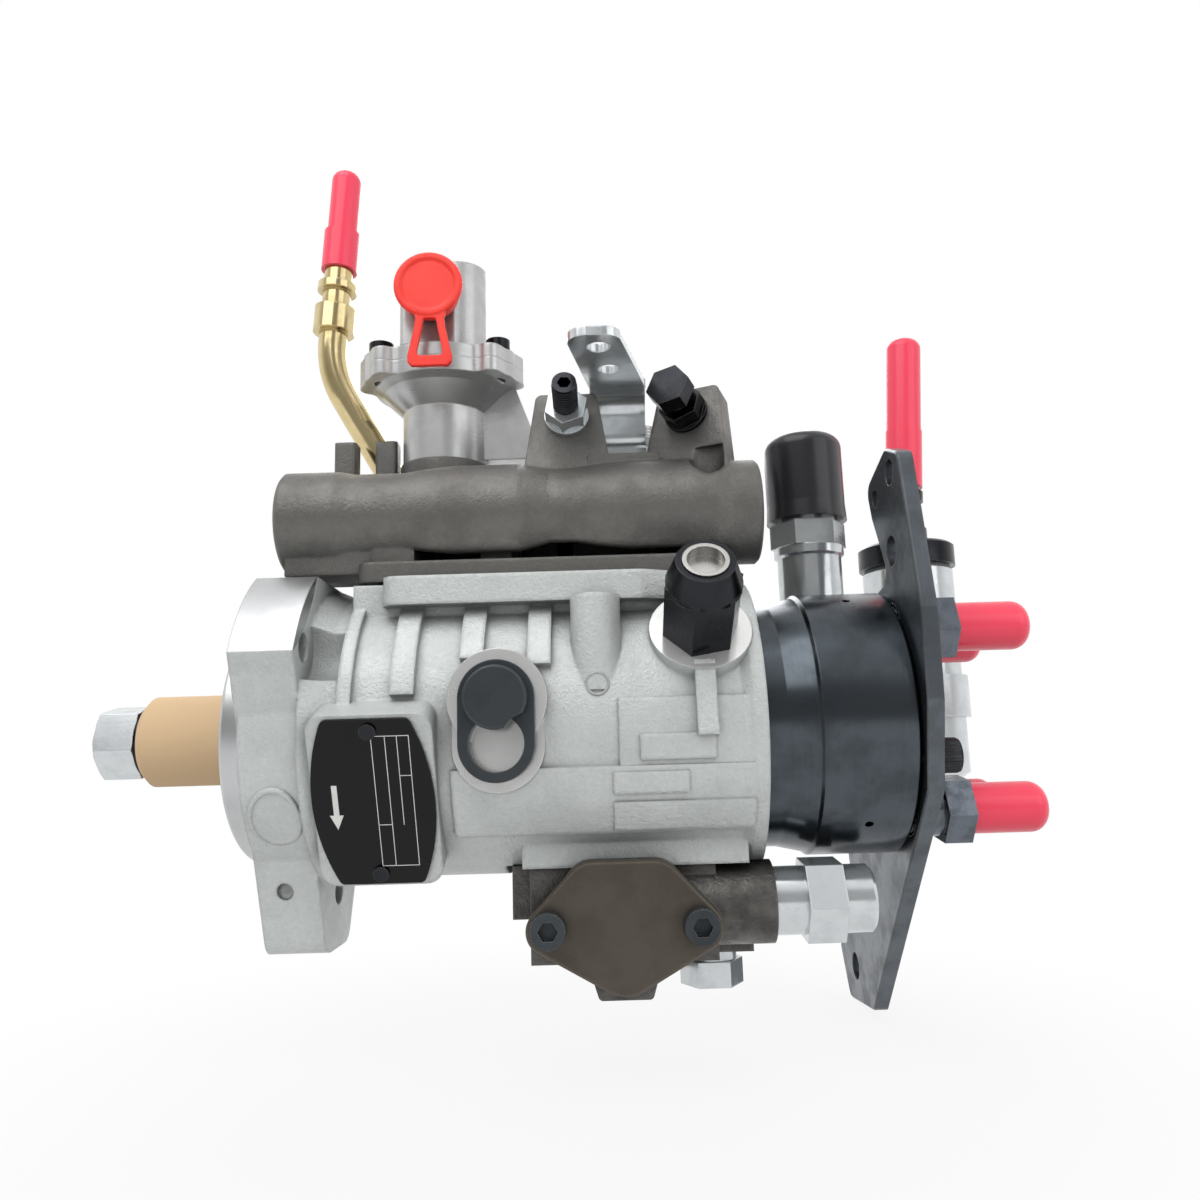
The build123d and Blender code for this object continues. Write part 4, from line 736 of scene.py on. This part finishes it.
@dataclass
class PumpBody(SubAssembly):
    """The cast housing with its plate, plug and inlet.

    Attributes:
        inlet: The inlet seat's place along the drive line, its radius and its lean.
        label: The same for the data plate.
        plug_span: Where the plug's seat starts and ends along the drive line.
        rim: The angles between which the flange's upper edge is round.
        oval_bead: The radius of the oval's bead, and how much it changes from end to end.
        oval: The oval's place along the drive line, its lean, its half width and its half angle.
        flank_hole: The middle of the flank's hole, and its radius.
        post_ring: The middle of the ring on the rib post, and its radius.
    """

    flange_t: float = 19.0
    flange_r: float = 58.0
    spigot_r: float = 40.0
    body_end: float = 155.4
    lip_z: float = 47.5
    inlet: tuple[float, float, float] = (137.6, 48.5, 35.0)
    label: tuple[float, float, float] = (41.0, 48.5, -25.0)
    boss_reach: float = 20.0
    plug_face: float = 49.5
    plug_span: tuple[float, float] = (60.0, 95.0)
    plug_sink: float = 3.2
    face_tol: float = 0.3
    seat_tol: float = 0.2
    spigot_edge: float = 1.5
    lobe_low: float = 15.0
    lobe_depth: float = 0.8
    facing: float = 0.9
    seat_facing: float = 0.95
    boss_facing: float = 0.98
    edge_on: float = 0.1
    plate_t: float = 1.0
    ink_sink: float = 0.02
    ink_t: float = 0.05
    arrow_x: float = -11.2
    rim: tuple[float, float] = (122.34, 156.5)
    rim_overlap: float = 0.3
    rim_proud: float = 0.01
    oval_r: float = 45.8
    oval_bead: tuple[float, float] = (0.75, 0.35)
    oval: tuple[float, float, float, float] = (10.4, 33.0, 7.4, 12.2)
    flank_hole: tuple[float, float, float, float] = (8.4, -20.4, -47.4, 2.58)
    post_ring: tuple[float, float, float, float] = (106.1, -45.5, 11.8, 3.2)
    post_r: float = 7.6
    post_bead: float = 0.4
    line_w: float = 0.22

    finishes: dict[str, Finish] = field(
        default_factory=lambda: {
            "pump_housing": SAND_CAST,
            "lock_spacer": DULL_BLACK,
            "lock_plug": DULL_BLACK,
            "inlet_adapter": BLACK_BOLT,
            "inlet_insert": BARE_STEEL,
            "data_plate": BLACK_ENAMEL,
            "plate_rivets": BLACK_BOLT,
            "shaft_bearing": BARE_STEEL,
            "shaft_seal": SEAL_RUBBER,
        }
    )

    def turned(self, middle: Vector, normal: Vector) -> bool:
        """Tells whether a facet of the housing was turned on a lathe.

        Args:
            middle: The facet's middle in millimetres.
            normal: Its normal.

        Returns:
            True for the mounting face, the spigot, the flange's upper edges and the rear face.
        """
        radius = math.hypot(middle.y, middle.z)
        front = middle.x < self.face_tol and normal.x < -self.facing
        spigot = middle.x < self.face_tol and radius > self.spigot_r - self.spigot_edge
        lobe = middle.x < self.flange_t and middle.z > self.lobe_low and abs(normal.x) < self.edge_on
        rim = lobe and radius > self.flange_r - self.lobe_depth
        rear = middle.x > self.body_end - self.face_tol and normal.x > self.facing
        return front or spigot or rim or rear

    def milled(self, middle: Vector, normal: Vector) -> bool:
        """Tells whether a facet of the housing was milled or spot-faced.

        Args:
            middle: The facet's middle in millimetres.
            normal: Its normal.

        Returns:
            True for the inlet's boss, the gasket face and the plug's seat.
        """
        x, seat, angle = self.inlet
        lean = math.radians(angle)
        out = Vector((0, -math.cos(lean), math.sin(lean)))
        level = abs(middle.dot(out) - seat) < self.seat_tol and normal.dot(out) > self.boss_facing
        boss = level and abs(middle.x - x) < self.boss_reach
        gasket = abs(middle.z - self.lip_z) < self.seat_tol and normal.z > self.seat_facing
        first, last = self.plug_span
        near = middle.y < self.plug_sink - self.plug_face and normal.y < -self.seat_facing
        return boss or gasket or (near and first < middle.x < last)

    def dress(self) -> None:
        """Dresses the group and gives the casting its machined faces."""
        super().dress()
        self.machine("pump_housing", TURNED_FACE, self.turned)
        self.machine("pump_housing", MILLED_FACE, self.milled)

    def printing(self) -> bpy.types.Object:
        """Prints an empty frame and a plain turning arrow on the data plate.

        Returns:
            The printing.
        """
        frame = leaning(*self.label)
        low = self.plate_t - self.ink_sink
        high = self.plate_t + self.ink_t
        line = self.line_w
        ink = Stock()
        for x, y, width, height in (
            (0.7, 0.4, line, 41.0), (11.4, 0.4, line, 41.0), (6.1, 20.9, 10.9, line),
            (6.1, -20.1, 10.9, line), (4.6, 0.4, line, 41.0), (8.0, 7.0, line, 27.8),
            (9.7, 8.6, 3.4, line), (2.6, -6.8, 3.9, line),
        ):
            corners = ((-1, -1), (1, -1), (1, 1), (-1, 1))
            ink.slab(frame, [(x + u * width / 2, y + v * height / 2) for u, v in corners], low, high)
        arrow = [(-0.8, 6.0), (-0.8, -3.4), (-2.0, -3.4), (0.0, -8.0), (2.0, -3.4), (0.8, -3.4), (0.8, 6.0)]
        ink.slab(frame, [(x + self.arrow_x, y) for x, y in arrow], low, high)
        return ink.piece("plate_printing", PALE_PRINT, "housing", "plate_black")

    def flange_rim(self) -> bpy.types.Object:
        """Fills both upper edges of the flange out to the round that the lathe left.

        Returns:
            The two edges as one piece.
        """
        first, last = (math.radians(angle) for angle in self.rim)
        count = MARK_SEGMENTS // 2
        angles = [first + (last - first) * i / count for i in range(count + 1)]
        arc = [Vector((self.flange_r * math.cos(a), self.flange_r * math.sin(a))) for a in angles]
        chord = arc[-1] - arc[0]
        out = Vector((-chord.y, chord.x)).normalized()
        if out.dot(arc[0]) < 0:
            out = -out
        depths = [2 * (point - arc[0]).dot(out) + self.rim_overlap for point in arc]
        hollow = [point - out * depth for point, depth in zip(reversed(arc), reversed(depths))]
        frame = standing(Vector(), AWAY, ALONG)
        rim = Stock()
        low, high = -self.rim_proud, self.flange_t + self.rim_proud
        for side in (1, -1):
            rim.slab(frame, [(side * y, z) for y, z in arc + hollow], low, high)
        return rim.piece("flange_rim", TURNED_FACE, "housing", "cast_aluminium")

    def casting_marks(self) -> bpy.types.Object:
        """Raises the oval on the flank and the ring on the rib post, and closes the flank's blind hole.

        Returns:
            The marks as one piece.
        """
        marks = Stock()
        turns = [math.tau * i / MARK_SEGMENTS for i in range(MARK_SEGMENTS)]
        x, lean, half, reach = self.oval
        flank = []
        for turn in turns:
            angle = math.radians(lean + reach * math.sin(turn))
            out = Vector((0, -math.cos(angle), -math.sin(angle)))
            flank.append((x + half * math.cos(turn)) * ALONG + self.oval_r * out)
        thick, change = self.oval_bead
        marks.bead(flank, [thick - change * math.sin(turn) for turn in turns])
        x, y, z, radius = self.flank_hole
        drilled = standing(Vector((x, y, z)), ALONG, NEAR)
        cone = [(0.0, -1.2), (radius, 0.0), (radius, -2.0), (0.0, -2.6)]
        marks.lathe(drilled, cone, MARK_SEGMENTS // 2)
        x, y, z, radius = self.post_ring
        post = []
        for turn in turns:
            across = radius * math.cos(turn)
            back = across**2 / (2 * self.post_r)
            post.append(Vector((x + across, y + back, z + radius * math.sin(turn))))
        marks.bead(post, [self.post_bead] * len(turns))
        return marks.piece("casting_marks", SAND_CAST, "housing", "cast_aluminium")

    def build(self) -> list[bpy.types.Object]:
        """Makes the turned rim of the flange, the mould's marks and the printing of the data plate."""
        return [self.flange_rim(), self.casting_marks(), self.printing()]


@dataclass
class DriveEnd(SubAssembly):
    """The drive shaft, its nut and wrap, and what turns inside the housing."""

    finishes: dict[str, Finish] = field(
        default_factory=lambda: {
            "drive_shaft": BARE_STEEL,
            "shaft_nut": ZINC,
            "spring_washer": BLACK_BOLT,
            "paper_sleeve": KRAFT,
            "transfer_liner": BARE_STEEL,
            "transfer_rotor": BARE_STEEL,
            "weight_carrier": BARE_STEEL,
            "flyweight_1": BARE_STEEL,
            "flyweight_2": BARE_STEEL,
            "flyweight_3": BARE_STEEL,
            "thrust_sleeve": BARE_STEEL,
            "cam_ring": BARE_STEEL,
            "roller_shoes": BARE_STEEL,
            "distributor_rotor": BARE_STEEL,
        }
    )
    thread_start: float = -61.4
    thread_l: float = 2.2
    thread_r: float = 6.6
    thread_pitch: float = 1.5

    def build(self) -> list[bpy.types.Object]:
        """Cuts the thread that stands out of the shaft nut.

        Returns:
            The thread.
        """
        turns = Stock()
        frame = standing(self.thread_start * ALONG, AWAY, ALONG)
        turns.thread(frame, self.thread_r, self.thread_l, self.thread_pitch)
        return [turns.piece("shaft_thread", BARE_STEEL, "drive", "bare_steel")]


@dataclass
class GovernorTop(SubAssembly):
    """The governor cover, its stop screws and the linkage under it.

    Attributes:
        left_lug: The lug's place along the drive line, its turn and its screw's threaded length.
        right_lug: The same for the right lug.
        shaft: Where the throttle shaft's thread starts.
        head_spots: Where the cover screws stand, seen from above.
    """

    finishes: dict[str, Finish] = field(
        default_factory=lambda: {
            "governor_cover": COVER_CAST,
            "cover_screws": BLACK_BOLT,
            "stop_screws": BLACK_BOLT,
            "stop_nuts": ZINC,
            "governor_arm": BARE_STEEL,
            "governor_spring": SPRING_STEEL,
            "metering_valve": BARE_STEEL,
            "throttle_lever": ZINC,
            "throttle_shaft": BARE_STEEL,
            "throttle_spring": SPRING_STEEL,
            "lever_nut": ZINC,
        }
    )
    lug_y: float = -17.0
    lug_z: float = 86.0
    lug_tilt: float = 14.0
    screw_rise: float = 20.5
    thread_r: float = 3.9
    stud_l: float = 4.4
    nut_top: float = 7.6
    left_lug: tuple[float, float, float] = (98.0, 0.0, 11.6)
    right_lug: tuple[float, float, float] = (137.0, 26.0, 4.2)
    shaft: tuple[float, float, float] = (126.0, 22.0, 108.2)
    head_spots: tuple[tuple[float, float], ...] = ((47, 31), (144, 30), (144, -22), (95, 31))
    head_seat: float = 72.0

    def dress(self) -> None:
        """Dresses the group and blackens the nut of the right stop screw."""
        super().dress()
        between = (self.left_lug[0] + self.right_lug[0]) / 2
        self.machine("stop_nuts", BLACK_BOLT, lambda middle, normal: middle.x > between)

    def seat(self, x: float, turn: float) -> Matrix:
        """Gives the frame of a stop screw's seat on its lug.

        Args:
            x: The lug's place along the drive line.
            turn: How far the lug is turned about the upright, in degrees.

        Returns:
            The frame, with z along the screw.
        """
        lean, swing = math.radians(self.lug_tilt), math.radians(turn)
        level = Vector((-math.sin(swing), -math.cos(swing), 0))
        out = math.cos(lean) * level + math.sin(lean) * UP
        across = Vector((math.cos(swing), -math.sin(swing), 0))
        origin = Vector((x, self.lug_y, self.lug_z)) + self.screw_rise * out.cross(across)
        return standing(origin, across, out)

    def build(self) -> list[bpy.types.Object]:
        """Cuts the threads of the stop screws and the throttle shaft and knurls the cover screws.

        Returns:
            The two threads and the knurls.
        """
        cut = Stock()
        rise = Matrix.Translation(self.nut_top * UP)
        for x, turn, length in (self.left_lug, self.right_lug):
            cut.thread(self.seat(x, turn) @ rise, self.thread_r, length)
        stud = Stock()
        stud.thread(standing(Vector(self.shaft), ALONG, UP), self.thread_r, self.stud_l)
        heads = Stock()
        for x, y in self.head_spots:
            heads.knurl(standing(Vector((x, y, self.head_seat)), ALONG, UP))
        return [
            cut.piece("stop_screw_threads", BLACK_BOLT, "housing", "black_steel"),
            stud.piece("throttle_shaft_thread", BARE_STEEL, "throttle", "bare_steel"),
            heads.piece("cover_screw_knurls", BLACK_BOLT, "housing", "black_steel"),
        ]


@dataclass
class BoostUnit(SubAssembly):
    """The boost control with its cap, and the return pipe beside it."""

    finishes: dict[str, Finish] = field(
        default_factory=lambda: {
            "boost_body": TURNED_SILVER,
            "boost_cover": TURNED_SILVER,
            "boost_pushrod": BARE_STEEL,
            "boost_spring": SPRING_STEEL,
            "boost_tab_cap": RED_MOULDED,
            "return_pipe": GOLD_PLATE,
        }
    )
    port: tuple[float, float, float] = (51.0, -14.2, 154.5)
    port_r: float = 8.1
    cap_r: float = 12.0
    cap_t: float = 2.4
    skirt: float = 6.0
    tab_x: float = 0.6
    tab_sink: float = 0.3
    soft_edge: float = 0.35

    def tab_cap(self) -> bpy.types.Object:
        """Moulds the cap with its rim and skirt and the thin pull loop under it.

        Returns:
            The cap.
        """
        frame = standing(Vector(self.port), ALONG, NEAR)
        top, edge = self.cap_t, self.cap_r
        cap = Stock()
        cap.lathe(
            frame,
            [
                (0.0, top - 0.6), (edge - 2.9, top - 0.6), (edge - 2.4, top), (edge - 0.6, top),
                (edge, top - 0.6), (edge, 0.5), (edge - 0.5, 0.0), (edge - 2, 0.0),
                (edge - 2, -self.skirt), (self.port_r, -self.skirt), (self.port_r, 0.0), (0.0, 0.0),
            ],
        )
        right = [(5.6, -9.6), (5.0, -12.5), (5.3, -15.5), (7.7, -26.4), (7.6, -28.6), (6.2, -30.0)]
        window = [(1.9, -12.6), (2.3, -13.6), (2.6, -15.5), (4.4, -24.4), (4.3, -25.6), (3.4, -26.2)]
        outer, inner = (
            [(self.tab_x + x, y) for x, y in half] + [(self.tab_x - x, y) for x, y in reversed(half)]
            for half in (right, window)
        )
        cap.loop(frame, outer, inner, self.tab_sink, top - self.tab_sink)
        made = cap.piece("tab_cap", RED_MOULDED, "housing", "red_cap")
        round_off = made.modifiers.new("soft_edges", "BEVEL")
        round_off.width = self.soft_edge * MM
        round_off.segments = 2
        round_off.limit_method = "ANGLE"
        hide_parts("boost_tab_cap")
        return made

    def build(self) -> list[bpy.types.Object]:
        """Makes the red cap of the boost port."""
        return [self.tab_cap()]


@dataclass
class HeadEnd(SubAssembly):
    """The hydraulic head, its outlets and the shut-off solenoid."""

    finishes: dict[str, Finish] = field(
        default_factory=lambda: {
            "hydraulic_head": BLACK_STEEL,
            "delivery_holders": BLUED_STEEL,
            "delivery_valves": BARE_STEEL,
            "outlet_caps": RED_VINYL,
            "pipe_caps": RED_VINYL,
            "shutoff_solenoid": ZINC,
            "solenoid_plunger": BARE_STEEL,
            "solenoid_cap": BLACK_VINYL,
        }
    )


@dataclass
class AdvanceUnit(SubAssembly):
    """The timing advance device under the housing."""

    finishes: dict[str, Finish] = field(
        default_factory=lambda: {
            "advance_body": IRON,
            "advance_cover": PHOSPHATE,
            "advance_screws": DULL_BLACK,
            "advance_bolts": ZINC,
            "advance_piston": BARE_STEEL,
            "advance_spring": SPRING_STEEL,
            "cold_advance_solenoid": ZINC,
        }
    )
    screw_xs: tuple[float, float] = (90.0, 134.0)
    screw_z: float = -58.0
    seat_y: float = -38.0

    def dress(self) -> None:
        """Dresses the group and blackens the left of the two bolts from below."""
        super().dress()
        between = sum(self.screw_xs) / 2
        self.machine("advance_bolts", BLACK_BOLT, lambda middle, normal: middle.x < between)

    def build(self) -> list[bpy.types.Object]:
        """Knurls the heads of the cover's socket screws.

        Returns:
            The knurls.
        """
        heads = Stock()
        for x in self.screw_xs:
            heads.knurl(standing(Vector((x, self.seat_y, self.screw_z)), ALONG, NEAR))
        return [heads.piece("advance_screw_knurls", DULL_BLACK, "housing", "black_steel")]


@dataclass
class RearBracket(SubAssembly):
    """The bent rear plate, its screws and the canister behind it."""

    finishes: dict[str, Finish] = field(
        default_factory=lambda: {
            "rear_plate": PLATE_STEEL,
            "plate_screws": BLACK_BOLT,
            "canister": ZINC,
            "canister_cap": BLACK_BOLT,
            "canister_strap": ZINC,
        }
    )
    plate_back: float = 206.5
    screw_spots: tuple[tuple[float, float], ...] = ((-37, -12), (37, 13), (37, -13))

    def build(self) -> list[bpy.types.Object]:
        """Knurls the heads of the plate's socket screws.

        Returns:
            The knurls.
        """
        heads = Stock()
        for y, z in self.screw_spots:
            heads.knurl(standing(Vector((self.plate_back, y, z)), AWAY, ALONG))
        return [heads.piece("plate_screw_knurls", BLACK_BOLT, "housing", "black_steel")]


@dataclass(frozen=True)
class SoftBox:
    """A square lamp that is aimed at the pump."""

    name: str
    place: tuple[float, float, float]
    size: float
    power: float

    def hang(self, aim: Vector) -> None:
        """Hangs the lamp in the scene.

        Args:
            aim: What it points at.
        """
        data = bpy.data.lights.new(self.name, "AREA")
        data.size = self.size
        data.energy = self.power
        box = bpy.data.objects.new(self.name, data)
        place = Vector(self.place)
        turn = (place - aim).to_track_quat("Z", "Y").to_matrix().to_4x4()
        box.matrix_world = Matrix.Translation(place) @ turn
        bpy.context.scene.collection.objects.link(box)


SOFT_BOXES = (
    SoftBox("key_box", (-0.15, -0.45, 0.75), 0.8, 3.8),
    SoftBox("fill_box", (0.75, -0.55, 0.35), 0.6, 1.3),
    SoftBox("back_box", (0.1, 0.7, 0.6), 0.6, 3.0),
)


@dataclass
class Studio:
    """The floor, the lamps, the white surround and the camera, with places in metres.

    Attributes:
        room_range: Between which depths of a mirrored ray the surround turns from dark to white.
        sky_range: The same for its heights.
        shadow_range: Between which distances from the middle the floor's shadow fades.
    """

    floor_z: float
    middle: tuple[float, float, float] = (0.1, 0.0, 0.02)
    ambient: float = 0.95
    behind_camera: float = 0.34
    room_range: tuple[float, float] = (-0.75, 0.15)
    sky_range: tuple[float, float] = (0.25, 0.85)
    floor_size: float = 6.0
    floor_cells: int = 8
    floor_grey: float = 0.5
    floor_roughness: float = 0.7
    floor_specular: float = 0.1
    shadow_share: float = 0.88
    shadow_range: tuple[float, float] = (0.10, 0.26)
    pitch: float = math.radians(9.5)
    roll: float = math.radians(1.7)
    lens_mm: float = 28.8
    sensor_mm: float = 36.0
    clip: float = 0.01
    eye: tuple[float, float, float] = (0.1076, -0.3267, -0.0106)

    def camera(self) -> None:
        """Stands the camera where the photograph was taken from."""
        ahead = math.cos(self.pitch) * AWAY + math.sin(self.pitch) * UP
        rise = math.cos(self.pitch) * UP - math.sin(self.pitch) * AWAY
        right = math.cos(self.roll) * ALONG - math.sin(self.roll) * rise
        above = math.sin(self.roll) * ALONG + math.cos(self.roll) * rise
        data = bpy.data.cameras.new("camera")
        data.lens = self.lens_mm
        data.sensor_width = self.sensor_mm
        data.clip_start = self.clip
        eye = bpy.data.objects.new("camera", data)
        turn = Matrix((right, above, -ahead)).transposed()
        eye.matrix_world = Matrix.Translation(self.eye) @ turn.to_4x4()
        bpy.context.scene.collection.objects.link(eye)
        bpy.context.scene.camera = eye

    def surround(self) -> None:
        """Makes a world that is white to the eye and darker where the photographer stands."""
        world = bpy.data.worlds.new("surround")
        world.use_nodes = True
        bpy.context.scene.world = world
        bench = Bench(world.node_tree)
        through = bench.node("ShaderNodeLightPath", out="Is Transmission Ray")
        seen = bench.node("ShaderNodeLightPath", out="Is Camera Ray").highest(through)
        glossy = bench.node("ShaderNodeLightPath", out="Is Glossy Ray")
        way = bench.node("ShaderNodeTexCoord", out="Generated")
        depth = bench.node("ShaderNodeSeparateXYZ", {}, {0: way}, "Y")
        height = bench.node("ShaderNodeSeparateXYZ", {}, {0: way}, "Z")
        above = bench.step(height, *self.sky_range)
        mirror = bench.step(depth, *self.room_range, self.behind_camera, 1.0).highest(above)
        plain = (1 - seen) * (1 - glossy) * self.ambient
        background = world.node_tree.nodes["Background"]
        bench.feed(background.inputs["Color"], (1.0, 1.0, 1.0))
        bench.feed(background.inputs["Strength"], seen + glossy * mirror + plain)

    def floor(self) -> None:
        """Lays a pale floor that keeps a soft shadow and is white to the eye."""
        cells = self.floor_cells
        bpy.ops.mesh.primitive_grid_add(x_subdivisions=cells, y_subdivisions=cells, size=self.floor_size)
        ground = bpy.context.object
        ground.name = "floor"
        ground.location = (*self.middle[:2], self.floor_z)
        made = bpy.data.materials.new("pale_floor")
        made.use_nodes = True
        bench = Bench(made.node_tree)
        shader = made.node_tree.nodes["Principled BSDF"]
        bench.feed(shader.inputs["Base Color"], (self.floor_grey,) * 3)
        bench.feed(shader.inputs["Roughness"], self.floor_roughness)
        bench.feed(shader.inputs["Specular IOR Level"], self.floor_specular)
        glossy = bench.node("ShaderNodeLightPath", out="Is Glossy Ray")
        through = bench.node("ShaderNodeLightPath", out="Is Transmission Ray")
        seen = bench.node("ShaderNodeLightPath", out="Is Camera Ray").highest(glossy).highest(through)
        far = bench.node("ShaderNodeVectorMath", {"operation": "LENGTH"}, {0: bench.place()}, "Value")
        share = seen * bench.step(far, *self.shadow_range, self.shadow_share, 1.0)
        glow = bench.node("ShaderNodeEmission", {}, {"Color": (1.0, 1.0, 1.0), "Strength": 1.0})
        matt = Wire(bench, shader.outputs[0])
        both = bench.node("ShaderNodeMixShader", {}, {0: share, 1: matt, 2: glow})
        bench.feed(made.node_tree.nodes["Material Output"].inputs["Surface"], both)
        ground.data.materials.append(made)
        ground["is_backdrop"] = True

    def build(self) -> None:
        """Sets up the whole studio."""
        self.camera()
        for box in SOFT_BOXES:
            box.hang(Vector(self.middle))
        self.surround()
        self.floor()
        bpy.context.scene.view_settings.view_transform = "Standard"


def main() -> None:
    """Loads the frame, builds and dresses each sub-assembly, builds the studio and measures the bounds
    again.
    """
    logging.basicConfig(level=logging.INFO, format="%(name)s: %(message)s")
    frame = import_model()
    low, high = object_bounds()
    nodes = frame["nodes"]
    groups = (PumpBody, DriveEnd, GovernorTop, BoostUnit, HeadEnd, AdvanceUnit, RearBracket)
    for group in groups:
        part = group(nodes)
        part.dress()
        for piece in part.build():
            LOG.info("%s: made %s", group.__name__, piece.name)
        LOG.info("%s: dressed %d nodes", group.__name__, len(part.finishes))
    Studio(floor_z=low.z - FLOOR_GAP).build()
    low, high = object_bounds()


if __name__ == "__main__":
    main()
